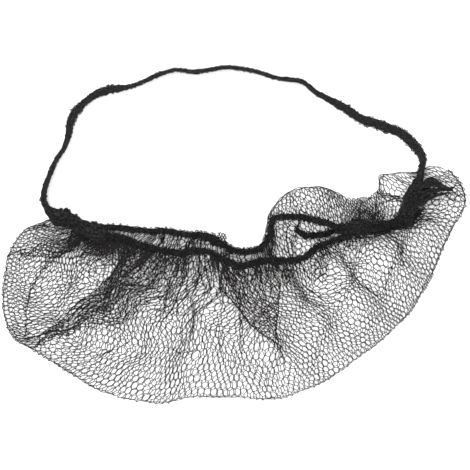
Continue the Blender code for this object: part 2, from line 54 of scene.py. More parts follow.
# gloss: roughness, specular level, sheen and the sheen's roughness; tones: what the colour drifts between;
# drift: scale and detail of its noise, and where each tone is reached; bump: the kind of texture, its scale,
# its detail or distortion, and the bump's strength and height
finishes = {
    "black nylon net yarn": {
        "gloss": (0.62, 0.16, 0.0, 0.5),
        "tones": ((0.0072, 0.0068, 0.0070), (0.0185, 0.0165, 0.0165)),
        "drift": (900, 4, 0.32, 0.70),
        "bump": ("Wave", 1600, 3, 0.35, 0.00008),
    },
    "knitted elastic": {
        "gloss": (0.93, 0.08, 0.06, 0.6),
        "tones": ((0.0012, 0.0012, 0.0014), (0.026, 0.0255, 0.0285)),
        "drift": (1100, 3, 0.40, 0.70),
        "bump": ("Noise", 5200, 3, 1.0, 0.0002),
    },
    "sewn elastic": {  # the bands and the tail are a shade blacker than the loop
        "gloss": (0.93, 0.08, 0.03, 0.6),
        "tones": ((0.0006, 0.0006, 0.0008), (0.030, 0.0295, 0.0325)),
        "drift": (1100, 3, 0.47, 0.71),
        "bump": ("Noise", 5200, 3, 1.0, 0.0002),
    },
    "bunched net": {
        "gloss": (0.90, 0.08, 0.05, 0.6),
        "tones": ((0.0014, 0.0014, 0.0016), (0.030, 0.0290, 0.0305)),
        "drift": (1000, 3, 0.44, 0.72),
        "bump": ("Noise", 2600, 6, 0.9, 0.0002),
    },
    "matte white paper": {
        "gloss": (0.95, 0.05, 0.0, 0.5),
        "tones": ((0.90, 0.90, 0.90), (0.92, 0.92, 0.92)),
        "drift": (3, 4, 0.32, 0.70),
    },
}


def addObject(name, data):
    thing = bpy.data.objects.new(name, data)
    bpy.context.scene.collection.objects.link(thing)
    return thing


def makeCamera():
    lens = bpy.data.cameras.new("camera")
    lens.sensor_width = studio["sensor"]
    lens.lens = studio["sensor"] * studio["cameraHeight"] / studio["viewWidth"]
    lens.clip_end = 10
    camera = addObject("camera", lens)
    camera.location = (*studio["viewCentre"], studio["cameraHeight"])
    bpy.context.scene.camera = camera


def makeLight():
    world = bpy.data.worlds.new("white room")
    world.use_nodes = True
    sky = world.node_tree.nodes["Background"]
    sky.inputs["Color"].default_value = (1, 1, 1, 1)
    sky.inputs["Strength"].default_value = studio["skyStrength"]
    bpy.context.scene.world = world
    lamp = bpy.data.lights.new("soft panel", "AREA")
    lamp.energy = studio["panelPower"]
    lamp.size = studio["panelSide"]
    panel = addObject("soft panel", lamp)
    panel.location = studio["panelPlace"]
    panel.rotation_euler = (-panel.location.normalized()).to_track_quat("-Z", "Y").to_euler()


def addTexture(tree, place, kind, scale, detail):
    texture = tree.nodes.new("ShaderNodeTex" + kind)
    texture.inputs["Scale"].default_value = scale
    texture.inputs["Distortion" if kind == "Wave" else "Detail"].default_value = detail
    if kind == "Wave":
        texture.bands_direction = "DIAGONAL"
    tree.links.new(place.outputs["Object"], texture.inputs["Vector"])
    return texture.outputs["Fac"]


def makeFinish(name):
    finish = finishes[name]
    material = bpy.data.materials.new(name)
    material.use_nodes = True
    tree = material.node_tree
    shader = tree.nodes["Principled BSDF"]
    sockets = ("Roughness", "Specular IOR Level", "Sheen Weight", "Sheen Roughness")
    for socket, value in zip(sockets, finish["gloss"]):
        shader.inputs[socket].default_value = value
    place = tree.nodes.new("ShaderNodeTexCoord")
    scale, detail, *stops = finish["drift"]
    ramp = tree.nodes.new("ShaderNodeValToRGB")
    for element, stop, tone in zip(ramp.color_ramp.elements, stops, finish["tones"]):
        element.position = stop
        element.color = (*tone, 1)
    tree.links.new(addTexture(tree, place, "Noise", scale, detail), ramp.inputs["Fac"])
    tree.links.new(ramp.outputs["Color"], shader.inputs["Base Color"])
    if "bump" in finish:
        kind, scale, detail, strength, height = finish["bump"]
        bump = tree.nodes.new("ShaderNodeBump")
        bump.inputs["Strength"].default_value = strength
        bump.inputs["Distance"].default_value = height
        tree.links.new(addTexture(tree, place, kind, scale, detail), bump.inputs["Height"])
        tree.links.new(bump.outputs["Normal"], shader.inputs["Normal"])
    return material


def makeFloor():
    bpy.ops.mesh.primitive_plane_add(size=studio["floorSide"])
    floor = bpy.context.object
    floor.name = "floor"
    floor.data.materials.append(makeFinish("matte white paper"))


def makePiece(name, mesh, material, node=None, smooth=True):
    points, faces = mesh
    data = bpy.data.meshes.new(name)
    data.from_pydata(points.tolist(), [], faces)
    data.materials.append(material)
    if smooth:
        data.shade_smooth()
    data.validate()
    piece = addObject(name, data)
    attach(piece, "root")
    if node:
        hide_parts(node)
    print(name, "triangles:", sum(len(face) - 2 for face in faces))
    return piece


def unit(vectors):
    return vectors / np.maximum(np.linalg.norm(vectors, axis=-1, keepdims=True), 1e-9)


def tubeFaces(count, rings, sides):
    # rings of faces round every tube, and one face at each of its ends
    base = (np.arange(count) * rings * sides)[:, None, None]
    ring = (np.arange(rings - 1) * sides)[None, :, None]
    here = np.arange(sides)[None, None, :]
    there = (here + 1) % sides
    corners = [ring + here, ring + there, ring + sides + there, ring + sides + here]
    faces = np.stack([base + corner for corner in corners], -1).reshape(-1, 4).tolist()
    first = base[:, 0, :] + np.arange(sides)[None, ::-1]
    last = base[:, 0, :] + (rings - 1) * sides + np.arange(sides)[None, :]
    return faces + first.tolist() + last.tolist()


nearlyUp = (0.13, 0.07, 1.0)  # no yarn here runs this way, so it gives every tube its sideways


def tubeMesh(paths, radii, sides):
    # paths: tubes x rings x 3, radii: tubes x rings
    paths, radii = np.asarray(paths), np.asarray(radii)
    along = unit(np.gradient(paths, axis=1))
    across = unit(np.cross(along, nearlyUp))
    over = np.cross(across, along)
    angle = (2 * math.pi * np.arange(sides) / sides)[:, None]
    circle = np.cos(angle) * across[:, :, None] + np.sin(angle) * over[:, :, None]
    points = (paths[:, :, None] + radii[:, :, None, None] * circle).reshape(-1, 3)
    return points, tubeFaces(*paths.shape[:2], sides)


def yarnMesh(paths, thickness, spread, taper, sides, rng):
    # bits of yarn, each a little thicker or thinner than the next
    radii = thickness * rng.uniform(*spread, (len(paths), 1)) * np.array([taper])
    return tubeMesh(paths, radii, sides)


def joined(*parts):
    # several lots of points and faces as one
    faces = []
    count = 0
    for points, corners in parts:
        faces += [[corner + count for corner in face] for face in corners]
        count += len(points)
    return np.concatenate([points for points, corners in parts]), faces


def stacked(lots):
    return [np.concatenate(part) for part in zip(*lots)]


def runOf(line):
    # metres travelled at each point of a line
    return np.concatenate([[0], np.cumsum(np.linalg.norm(np.diff(line, axis=0), axis=1))])


# the pouch that the net hangs in
pouch = {
    "width": 0.233,  # fold to fold
    "reach": 0.090,  # mouth line down to the bottom fold
    "billow": 0.0295,  # mouth line up to the top of the net behind the mouth
    "height": 0.012,
    "loopReach": 0.078,  # mouth line up to the head loop
    "loopThickness": 0.0017,
    "bandWidth": 0.0035,
    "netWall": 0.001,
    "floorLevel": 0.0005,
    "lowLevel": 0.002,
    "foldPower": 2.4,
    "hem": 0.03,  # share of the front wall that lies level beside the lip
    "curl": 0.006,  # how far in from its edges the lower wall comes down
}
mouthLine = (pouch["reach"] - pouch["loopReach"] - pouch["loopThickness"] / 2) / 2

# one row for each cross section, from the left gather round to the right one, in shares of the sizes above,
# with the turn of the bands in degrees; what a row leaves out at its end is nought
sectionNames = (
    "backX backY foldX foldY frontX frontY backLift frontLift swell crestX crestY billow turn".split()
)
sections = (
    (-0.747, 0.12, -0.794, -0.01, -0.73, 0, 0, 0.02),
    (-0.734, 0.1, -0.901, -0.03, -0.708, -0.01, 0, 0.02, 0.02),
    (-0.712, 0.07, -0.97, -0.16, -0.682, -0.03, 0, 0.02, 0.3),
    (-0.682, 0.05, -0.991, -0.31, -0.652, -0.04, 0, 0.02, 0.56),
    (-0.648, 0.02, -0.996, -0.49, -0.618, -0.05, 0.02, 0.03, 0.7),
    (-0.609, 0, -0.944, -0.64, -0.579, -0.056, 0.04, 0.06, 0.75),
    (-0.562, -0.02, -0.833, -0.73, -0.524, -0.068, 0.08, 0.14, 0.7),
    (-0.502, -0.02, -0.712, -0.83, -0.464, -0.08, 0.12, 0.26, 0.6),
    (-0.438, -0.03, -0.584, -0.93, -0.395, -0.12, 0.16, 0.4, 0.5),
    (-0.361, -0.04, -0.446, -0.98, -0.322, -0.14, 0.2, 0.52, 0.4),
    (-0.283, -0.04, -0.305, -1, -0.249, -0.16, 0.22, 0.6, 0.35),
    (-0.202, -0.06, -0.189, -0.97, -0.18, -0.15, 0.24, 0.64, 0.3),
    (-0.12, -0.07, -0.069, -0.97, -0.116, -0.15, 0.24, 0.64, 0.3),
    (-0.056, -0.11, 0.052, -0.97, -0.052, -0.19, 0.22, 0.64, 0.3),
    (0.017, -0.15, 0.163, -0.98, 0.03, -0.23, 0.2, 0.64, 0.3),
    (0.103, -0.14, 0.279, -0.94, 0.12, -0.2, 0.24, 0.62, 0.3),
    (0.155, -0.06, 0.403, -0.87, 0.21, -0.2, 0.3, 0.58, 0.3, -0.02, 0, 0.02),
    (0.167, 0.08, 0.524, -0.76, 0.296, -0.19, 0.33, 0.52, 0.35, -0.01, 0.09, 0.1),
    (0.275, 0.12, 0.652, -0.63, 0.352, -0.13, 0.32, 0.43, 0.45, -0.03, 0.4, 0.22),
    (0.378, 0.03, 0.755, -0.5, 0.429, -0.09, 0.26, 0.32, 0.55, 0, 0.55, 0.24),
    (0.464, -0.02, 0.841, -0.32, 0.476, -0.07, 0.18, 0.22, 0.65, 0.02, 0.47, 0.24),
    (0.528, 0.03, 0.893, -0.17, 0.536, -0.04, 0.1, 0.13, 0.7, 0.02, 0.39, 0.24),
    (0.605, 0, 0.936, -0.05, 0.614, -0.03, 0.06, 0.08, 0.6, 0.01, 0.53, 0.22, 78),
    (0.682, 0.05, 0.97, 0.09, 0.697, -0.01, 0.04, 0.05, 0.45, -0.06, 0.73, 0.2, 78),
    (0.721, 0.19, 0.998, 0.32, 0.755, 0.09, 0.02, 0.04, 0.32, -0.05, 0.61, 0.16),
    (0.747, 0.41, 0.996, 0.53, 0.785, 0.31, 0.02, 0.04, 0.22, -0.03, 0.42, 0.1),
    (0.768, 0.59, 0.97, 0.75, 0.807, 0.53, 0.02, 0.04, 0.12, 0, 0.25, 0.04),
    (0.785, 0.75, 0.923, 0.97, 0.815, 0.71, 0.02, 0.04, 0.05, 0.02, 0.12),
)
lastSection = len(sections) - 1


def sectionSizes(row):
    size = {**dict.fromkeys(sectionNames, 0), **dict(zip(sectionNames, row))}
    half = pouch["width"] / 2
    rise = pouch["height"] - pouch["lowLevel"]
    for edge in ("back", "fold", "front"):
        size[edge + "X"] *= half
        size[edge + "Y"] = mouthLine + size[edge + "Y"] * pouch["billow" if size[edge + "Y"] > 0 else "reach"]
    size["crestX"] = size["backX"] + size["crestX"] * half
    overhang = (pouch["bandWidth"] - pouch["netWall"]) / 2
    size["crestY"] = size["backY"] + overhang + size["crestY"] * pouch["billow"]
    for name in ("backLift", "frontLift"):
        size[name] = pouch["lowLevel"] + size[name] * rise
    for name in ("swell", "billow"):
        size[name] *= rise
    size["turn"] = math.radians(size["turn"])
    return list(size.values())


sectionTable = np.array([sectionSizes(row) for row in sections])


def curveThrough(rows, place):
    # smooth curve through rows of values, read at many places counted in rows
    rows = np.asarray(rows, float)
    place = np.clip(np.asarray(place, float), 0, len(rows) - 1)
    row = np.minimum(place.astype(int), len(rows) - 2)
    part = (place - row)[..., None]
    before = rows[np.maximum(row - 1, 0)]
    start = rows[row]
    end = rows[row + 1]
    after = rows[np.minimum(row + 2, len(rows) - 1)]
    bend = 2 * before - 5 * start + 4 * end - after
    twist = 3 * start - before - 3 * end + after
    return start + (end - before) / 2 * part + bend / 2 * part**2 + twist / 2 * part**3


def sectionAt(place):
    return dict(zip(sectionNames, np.moveaxis(curveThrough(sectionTable, place), -1, 0)))


def edgeOf(section, edge):
    return np.stack([section[edge + "X"], section[edge + "Y"]], -1)


def gapBetween(section, edge, other):
    gap = edgeOf(section, other) - edgeOf(section, edge)
    return np.hypot(gap[..., 0], gap[..., 1])


def lipAt(place, side):
    section = sectionAt(place)
    return np.stack([section[side + part] for part in ("X", "Y", "Lift")], -1)


def domed(free, lift, bulge):
    # height of a wall that rises from its fold, where free is 1, to its lip, where free is 0
    low = pouch["lowLevel"]
    rounded = np.sqrt(np.maximum(0, 1 - free ** pouch["foldPower"]))
    return low + (lift - low) * rounded + bulge * np.sin(math.pi * free) ** 2


def wallPoint(place, depth):
    # depth 0 is the outer fold, 1 the front lip, -1 the crest behind the mouth and -2 the back lip
    section = sectionAt(place)
    fold, front, crest, back = [edgeOf(section, edge) for edge in ("fold", "front", "crest", "back")]
    up, down, over = [np.clip(share, 0, 1)[..., None] for share in (depth, -depth, -depth - 1)]
    flat = fold + (front - fold) * up + (crest - fold) * down + (back - crest) * over
    up, down, over = up[..., 0], down[..., 0], over[..., 0]
    hem = pouch["hem"]
    frontZ = domed(np.clip((1 - up - hem) / (1 - hem), 0, 1), section["frontLift"], section["swell"])
    away = np.minimum(down, 1 - down) * np.linalg.norm(crest - fold, axis=-1)
    climb = pouch["lowLevel"] - pouch["floorLevel"]
    underZ = pouch["floorLevel"] + climb * np.maximum(0, 1 - away / pouch["curl"]) ** 2
    overZ = domed(1 - over, section["backLift"], section["billow"])
    height = np.where(depth >= 0, frontZ, np.where(depth >= -1, underZ, overZ))
    return np.concatenate([flat, height[..., None]], -1)


# the net itself, mesh by mesh
net = {
    "cellWidth": 0.00320,
    "pillar": 0.00235,  # upright side of a mesh
    "slope": 0.00198,  # slanting side of a mesh
    "lipShare": 0.84,  # width of a mesh at the lips, as a share of its width at the fold
    "knotLength": 0.00046,
    "knotWidth": 0.00030,
    "knotHeight": 0.00024,
    "pillarYarn": 0.000198,
    "slopeYarn": 0.000151,
    "sides": 4,
    "frontRows": 36,
    "backRows": 52,
    "fullness": 0.95,  # how much net each stretch of lip takes up
    "jitter": 0.00016,
    # the next two go by the row of sections where a column leaves the fold
    "billowTaken": ((15.0, 16.2, 20.5, 21.5), (1.0, 1.15, 1.15, 1.0)),
    "billowSize": ((15.0, 16.5, 20.5, 21.5), (1.0, 0.78, 0.78, 1.0)),
    "layerGap": 0.00045,  # from one layer of a pleat to the next
    "pleatFullness": 2.5,  # 2 folds a pleat's own meshes as they are, more spreads them out again
    "pleatReach": 7.5,  # how far round a pleat its net is drawn from, in half widths
    "pleatBegins": 0.03,  # how soon a pleat opens
    "pleatGrown": 0.7,  # how deep in it is at its fullest
    "foldDrift": 0.0016,  # how far the rows of meshes wander in and out over the outer fold
    "foldWaves": (0.0093, 0.031, 0.0041),
    "gatherWaves": ((0.0075, 0.0006), (0.0125, 0.0010), (0.0215, 0.0015)),
    "gatherReach": 0.070,  # how far in from the fold they are at their widest
    "gatherStray": (0.004, 2.3),  # how far they wander, and over how many times their own length
    "calmBack": (15.2, 21.0, 0.3),  # where they are smaller behind the mouth, and how small
    "frontDrift": 0.0008,
    "backDrift": 0.0014,
    "driftLength": 0.019,
    "creaseReach": 4.0,  # how far round a crease its net is drawn from, in half widths
    "creaseBegins": (-0.10, 0.25),  # where along its line, as a share, and how soon it is at its fullest
    "creaseEnds": (1.12, 0.35),
    "creaseOverlap": 0.95,
    "creaseLift": 0.5,
    "yarnShare": 0.31,  # how much of the net's flat area is yarn
    "shortestSide": 0.0002,  # a side shorter than this is left out
    "longestSide": 0.0052,  # a side that would be pulled longer than this lies in a slit of the net
    "doubled": (0.0180, 0.0750),  # the net behind the mouth is doubled between these
    "rim": 0.01,  # how far each layer goes past its lip
}
lineDepths = np.linspace(0, 1.06, 54)  # along a column of meshes, from the fold to a little past the lip
lowestKnot = net["knotWidth"] + 0.00002

# how the net runs, column by column: the row of sections that it leaves at the outer fold, those that it
# reaches at the front lip and at the crest behind the mouth, how soon it turns that way, and its meshes' size
netRoute = (
    (0, 0, 0, 1, 0.8), (1, 1.9, 2.6, 1, 0.76), (2, 3, 4.6, 1, 0.72), (3, 4.6, 6.2, 1, 0.7),
    (3.9, 6.4, 7.3, 1, 0.71), (4.6, 8, 8.2, 1, 0.76), (5.15, 9.2, 9, 0.95, 0.82), (5.8, 9.9, 9.4, 0.9, 0.88),
    (6.6, 10.3, 9.8, 0.9, 0.92), (7.8, 10.9, 10.5, 0.95, 0.98), (9, 11.6, 11.2, 1, 1),
    (10.4, 12.2, 11.7, 1, 1), (11.8, 12.9, 12.6, 1, 1), (13.2, 13.6, 13.6, 1, 0.98),
    (14.2, 14, 14.5, 1, 0.94), (15.4, 14.6, 15.3, 1, 0.9), (16.2, 15.4, 15.9, 1, 0.88),
    (17.3, 16.5, 17, 1, 0.86), (18.4, 18.2, 18.4, 1, 0.85), (19.3, 20, 19.6, 1, 0.85),
    (20.2, 21.9, 20.8, 1, 0.85), (21.2, 23, 21.8, 1, 0.84), (22.3, 24.2, 23, 1, 0.86),
    (23.4, 25.1, 24.2, 1, 0.86), (24.8, 25.8, 25.3, 1, 0.92), (25.6, 26.2, 25.8, 1, 1.06),
    (27, 27, 27, 1, 1.2),
)

# each pleat: how far in from the fold, and the rows of sections between which the net lies threefold there
frontPleats = (
    ((0.42, 20.5, 20.54), (0.7, 21.2, 21.6), (1, 21.6, 22.6)),
    ((0.25, 22.5, 22.54), (0.55, 22.9, 23.3), (1, 23.3, 24.7)),
    # the lobe at the upper left lies over the net below it
    ((0, 2.03, 2.17), (0.18, 1.9, 2.1), (0.36, 2.42, 2.8), (0.6, 2.35, 3.3), (0.8, 2.2, 3.8), (1, 2.1, 3.9)),
    ((0.08, 5.13, 5.17), (0.11, 5.07, 5.23), (0.17, 4.85, 5.01), (0.31, 4.2, 4.4), (0.44, 3.66, 3.94),
     (0.56, 3.4, 3.8), (0.75, 3.3, 3.9), (1, 3.4, 4)),
    # the wide one that slants down to the left
    ((0.18, 5.95, 5.99), (0.26, 6.1, 6.45), (0.34, 6.4, 7.1), (0.51, 7.05, 8.4), (0.675, 7.6, 9.1),
     (0.73, 7.7, 9.4), (0.82, 7.8, 9.7), (1, 8, 10.2)),
    # the one that ends in a point below the middle
    ((0.22, 14.7, 14.74), (0.32, 14.6, 14.82), (0.42, 14.3, 14.9), (0.55, 13.85, 15), (0.76, 12.75, 15.45),
     (1, 12.9, 15.3)),
)
backPleats = (
    ((0.05, 5.6, 5.9), (0.3, 6.1, 6.8), (0.6, 7, 8.4), (0.8, 7.8, 8.8), (1, 8.4, 8.44)),
    ((0.3, 13.2, 13.24), (0.6, 13.1, 13.5), (0.8, 13, 13.4), (1, 13.1, 13.14)),
    ((0.35, 21.8, 21.84), (0.65, 21.7, 22.2), (0.8, 21.6, 22.2), (1, 21.8, 21.84)),
)

# narrow creases in the front layer: half a crease's width, then the line that it follows, in metres
creases = (
    (0.0018, (-0.005, -0.0134), (-0.0065, -0.0199), (-0.0075, -0.0274)),
    (0.0018, (-0.0205, -0.0204), (-0.0245, -0.0239), (-0.028, -0.0299), (-0.0345, -0.0414),
     (-0.041, -0.0494)),
    (0.0018, (-0.008, -0.0274), (-0.012, -0.0339), (-0.021, -0.0414), (-0.027, -0.0474), (-0.0305, -0.0504)),
    (0.0013, (-0.0495, -0.0489), (-0.057, -0.0549), (-0.068, -0.0614)),
    (0.0014, (-0.0345, -0.0564), (-0.027, -0.0584), (-0.0195, -0.0554), (-0.008, -0.0574)),
    (0.0016, (0.0455, -0.0069), (0.053, -0.0114), (0.058, -0.0184), (0.063, -0.0249), (0.074, -0.0309)),
    (0.0018, (0.084, -0.0009), (0.082, -0.0049), (0.079, -0.0134), (0.077, -0.0214), (0.0735, -0.0314)),
    (0.0014, (0.029, -0.0214), (0.033, -0.0239), (0.038, -0.0274), (0.044, -0.0304)),
    (0.0014, (0.1005, 0.0151), (0.101, 0.0096), (0.1015, 0.0036)),
    (0.0026, (-0.077, -0.0439), (-0.087, -0.0474), (-0.098, -0.0502), (-0.106, -0.0514)),
    (0.0014, (-0.0065, -0.0269), (0.008, -0.0434), (0.022, -0.0574)),
    (0.0014, (0.0195, -0.0174), (0.023, -0.0249), (0.021, -0.0424), (0.0225, -0.0584)),
)


def drift(flat, seed, size, count=9):
    # a gentle random push over the table, the same on every run
    rng = np.random.default_rng(seed)
    heading = rng.uniform(0, 2 * math.pi, (count, 1))
    pitch = 2 * math.pi / (net["driftLength"] * rng.uniform(0.7, 1.6, (count, 1)))
    ahead = np.concatenate([np.cos(heading), np.sin(heading)], 1) * pitch
    phase = rng.uniform(0, 2 * math.pi, count)
    push = rng.normal(0, 1, (count, 2))
    push *= size / math.sqrt(count / 2)
    return np.sin(flat @ ahead.T + phase) @ push


def foldOver(flat, line, half):
    # how far a laid-over crease drags the net sideways, and how far it lifts it
    line = np.array(line)
    run = runOf(line)
    nearest = np.full(flat.shape[:-1], 1e9)
    signed = np.zeros_like(nearest)
    travelled = np.zeros_like(nearest)
    sideways = np.zeros_like(flat)
    for k, (start, end) in enumerate(zip(line, line[1:])):
        length = np.linalg.norm(end - start)
        ahead = (end - start) / length
        side = np.array([-ahead[1], ahead[0]])
        along = np.clip((flat - start) @ ahead, 0 if k else -1, length if k < len(line) - 2 else 9)
        away = flat - start - along[..., None] * ahead
        gap = np.linalg.norm(away, axis=-1)
        nearer = gap < nearest
        nearest = np.where(nearer, gap, nearest)
        signed = np.where(nearer, away @ side, signed)
        travelled = np.where(nearer, run[k] + along, travelled)
        sideways = np.where(nearer[..., None], side, sideways)
    share = travelled / run[-1]
    begins, grows = net["creaseBegins"]
    ends, fades = net["creaseEnds"]
    strength = np.clip((share - begins) / grows, 0, 1) * np.clip((ends - share) / fades, 0, 1)
    strength = strength**2 * (3 - 2 * strength)
    turn = signed / half
    fade = np.maximum(0, 1 - (np.maximum(np.abs(turn), 1) - 1) / net["creaseReach"])
    drag = -net["creaseOverlap"] * half * np.clip(turn, -1, 1) * fade * strength
    raised = net["creaseLift"] * half * strength * fade * (0.5 + 0.5 * np.clip(turn, -1, 1))
    return sideways * drag[..., None], raised


def soften(values, reach=2):
    kernel = np.hanning(2 * reach + 3)[1:-1]
    return np.convolve(np.pad(values, reach, "reflect", reflect_type="odd"), kernel / kernel.sum(), "valid")


def netColumns():
    # every half mesh of the net's width: where its column leaves the fold, where it ends at the lip and the
    # crest, how soon it turns that way and the size of its meshes
    rows = np.array(netRoute)
    at = np.linspace(0, len(rows) - 1, 6000)
    fine = [np.interp(at, np.arange(len(rows)), column) for column in rows.T]
    places = np.linspace(0, lastSection, 2701)
    taken = []
    for edge, column in zip(("fold", "front", "crest"), fine):
        run = np.interp(column, places, runOf(edgeOf(sectionAt(places), edge)))
        taken.append(np.abs(np.diff(run)))
    byCrest = np.interp(fine[0][1:], *net["billowTaken"]) * taken[2]
    byLips = net["fullness"] * np.maximum(taken[1], byCrest)
    size = (fine[4][1:] + fine[4][:-1]) / 2
    width = np.concatenate([[0], np.cumsum(np.maximum(taken[0], byLips) / size)])
    stops = np.arange(0, width[-1], net["cellWidth"] / 2)
    columns = [soften(np.interp(stops, width, column)) for column in fine]
    return stops, *np.clip(columns[:3], 0, lastSection), *columns[3:]


def columnLines(leaves, ends, bend, way):
    # each column's line from the fold to the lip, way 1, or the crest, way -1: places, and the way to each
    inside = np.clip(lineDepths, 0, 1)
    places = leaves[:, None] + (ends - leaves)[:, None] * inside[None, :] ** bend[:, None]
    points = wallPoint(places, way * np.broadcast_to(inside, places.shape))
    steps = np.linalg.norm(np.diff(points[..., :2], axis=1), axis=-1)
    past = lineDepths[1:] > 1
    steps[:, past] = steps[:, ~past][:, -1:]
    return places, np.concatenate([np.zeros((len(leaves), 1)), np.cumsum(steps, axis=1)], 1)


def readColumns(columns, levels, lines, overLengths):
    # the place and depth of a knot on each column, so far in from the fold, forwards or backwards
    found = np.empty((2, len(columns)))
    crestAt = np.searchsorted(lineDepths, 1.0)
    for k, (column, level) in enumerate(zip(columns, levels)):
        places, travelled = lines[int(level < 0)]
        far = abs(level)
        depth = np.interp(far, travelled[column], lineDepths)
        beyond = far - travelled[column, crestAt]
        if level < 0 and beyond > 0:
            depth = 1 + beyond / max(overLengths[column], 1e-4)
        found[:, k] = np.interp(far, travelled[column], places[column]), depth if level >= 0 else -depth
    return found


def rowLevels(rows):
    # how far in from the fold each row of knots lies, and how far its slanting sides climb
    share = 1 - (1 - net["lipShare"]) * np.arange(rows) / rows
    rise = np.sqrt(net["slope"] ** 2 - (share * net["cellWidth"] / 2) ** 2)
    steps = rise + net["pillar"]
    return np.cumsum(steps) - steps + net["pillar"] / 2 + rise / 2, rise


def zigzag(columns, rows):
    return np.where((np.arange(columns)[:, None] + rows) % 2 == 0, 0.5, -0.5)


def gathered(stops, leaves, level, rng):
    # which column each knot follows, once the gathers have swayed it sideways
    first, last, small = net["calmBack"]
    inBillow = ((leaves > first) & (leaves < last))[:, None]
    warp = np.zeros_like(level)
    stray, slowness = net["gatherStray"]
    for length, size in net["gatherWaves"]:
        for sign in (1, -1):
            phase = rng.uniform(0, 2 * math.pi)
            stretch = stops + stray * np.sin(stops / (slowness * length) + phase)
            swing = size * np.sin(2 * math.pi * stretch / length + phase)[:, None]
            share = np.clip(np.abs(level) / net["gatherReach"], 0, 1) ** 1.5
            if sign < 0:
                share = share * np.where(inBillow, small, 1)
            warp += np.where(np.sign(level) == sign, swing * share, 0)
    return np.clip((stops[:, None] + warp) / (stops[1] - stops[0]), 0, len(stops) - 1.001)


def pleated(place, depth, pleat):
    # lays the net three times between a pleat's two edges, and says how many layers lie under each knot
    depths, lefts, rights = np.array(pleat).T
    left = np.interp(depth, depths, lefts)
    right = np.interp(depth, depths, rights)
    begins = net["pleatBegins"]
    begun = np.clip((depth - depths[0] + begins) / (2 * begins), 0, 1) if depths[0] > 0 else 1.0
    middle = (left + right) / 2
    grown = depth / net["pleatGrown"]
    overlap = 2 + (net["pleatFullness"] - 2) * np.clip(grown + 0.4, 0, 1)
    half = np.maximum(right - left, 0.01) / 2 / (overlap - 1) * begun + 1e-6
    reach = net["pleatReach"] * (1.4 - 0.4 * np.clip(grown, 0, 1))
    turn = (place - middle) / half
    away = np.abs(turn)
    back = -(overlap - 1) * turn
    forth = np.sign(turn) * ((away - 1) * (1 + overlap / reach) - (overlap - 1))
    moved = np.where(away < 1, back, np.where(away < 1 + reach, forth, turn))
    under = np.where(away < 1, 1 + turn, np.where(turn > 0, 2 * np.clip(1 - (away - 1) / reach, 0, 1), 0))
    return middle + moved * half, under


def settle(points, depth, under, rng):
    # drifts, creases and lifts the knots where they lie
    flat = points[..., :2].copy()
    onFront = depth >= 0
    calm = np.sin(math.pi * np.clip(np.abs(depth), 0, 1)) ** 0.7
    front, back = drift(flat, 3, net["frontDrift"]), drift(flat, 11, net["backDrift"])
    shift = np.where(onFront[..., None], front, back) * calm[..., None]
    lift = under * net["layerGap"] * np.where(onFront, calm, 0.3 * calm)
    for half, *line in creases:
        drag, raised = foldOver(flat, line, half)
        shift += np.where(onFront[..., None], drag, 0)
        lift += np.where(onFront, raised, 0)
    shift += rng.normal(0, net["jitter"], shift.shape) * calm[..., None]
    points[..., :2] += shift
    points[..., 2] = np.maximum(points[..., 2] + lift, lowestKnot)


def layNet():
    rng = np.random.default_rng(7)
    stops, leaves, lip, crest, bend, meshSize = netColumns()
    columns = len(stops)
    rows = np.arange(-net["backRows"], net["frontRows"])
    frontLevels, frontRise = rowLevels(net["frontRows"])
    backLevels, backRise = rowLevels(net["backRows"])
    levels = np.concatenate([-backLevels[::-1], frontLevels])
    rises = np.concatenate([backRise[::-1], frontRise])
    sizes = meshSize[:, None] * np.where(levels < 0, np.interp(leaves, *net["billowSize"])[:, None], 1)
    level = (levels + zigzag(columns, rows) * rises) * sizes
    level += rng.normal(0, net["jitter"], level.shape)
    slow, slower, quick = net["foldWaves"]
    wander = np.sin(stops / slow + 1.7 * np.sin(stops / slower)) + 0.6 * np.sin(stops / quick)
    level += net["foldDrift"] * wander[:, None] / 1.6

    columnAt = gathered(stops, leaves, level, rng)
    lines = columnLines(leaves, lip, bend, 1), columnLines(leaves, crest, np.ones(columns), -1)
    overLengths = gapBetween(sectionAt(crest), "crest", "back")
    points = np.zeros((columns, len(rows), 3))
    depth = np.zeros((columns, len(rows)))
    under = np.zeros((columns, len(rows)))
    for r in range(len(rows)):
        low = columnAt[:, r].astype(int)
        part = columnAt[:, r] - low
        left, right = [readColumns(side, level[:, r], lines, overLengths) for side in (low, low + 1)]
        place, depth[:, r] = left * (1 - part) + right * part
        for pleats, way in ((frontPleats, 1), (backPleats, -1)):
            inward = depth[:, r] * way
            side = (inward > 0) & (inward < 1.2)
            for pleat in pleats:
                folded, below = pleated(place, inward, pleat)
                place = np.where(side, folded, place)
                under[:, r] += np.where(side, below, 0)
        points[:, r] = wallPoint(np.clip(place, 0, lastSection), np.clip(depth[:, r], -2, 1))
    settle(points, depth, under, rng)
    return rows, points, depth, stops[-1], meshSize.mean()


def meshSides(rows, points, depth):
    # every side of the meshes: its two ends, how deep in the wall its middle lies and whether it is upright
    sides = []
    columns = np.arange(len(points))
    for r in range(len(rows) - 1):
        upright = (columns + rows[r]) % 2 == 0
        middles = (depth[upright, r] + depth[upright, r + 1]) / 2
        sides.append((points[upright, r], points[upright, r + 1], middles, np.ones(len(middles), bool)))
    for r in range(len(rows)):
        middles = (depth[:-1, r] + depth[1:, r]) / 2
        sides.append((points[:-1, r], points[1:, r], middles, np.zeros(len(middles), bool)))
    return stacked(sides)


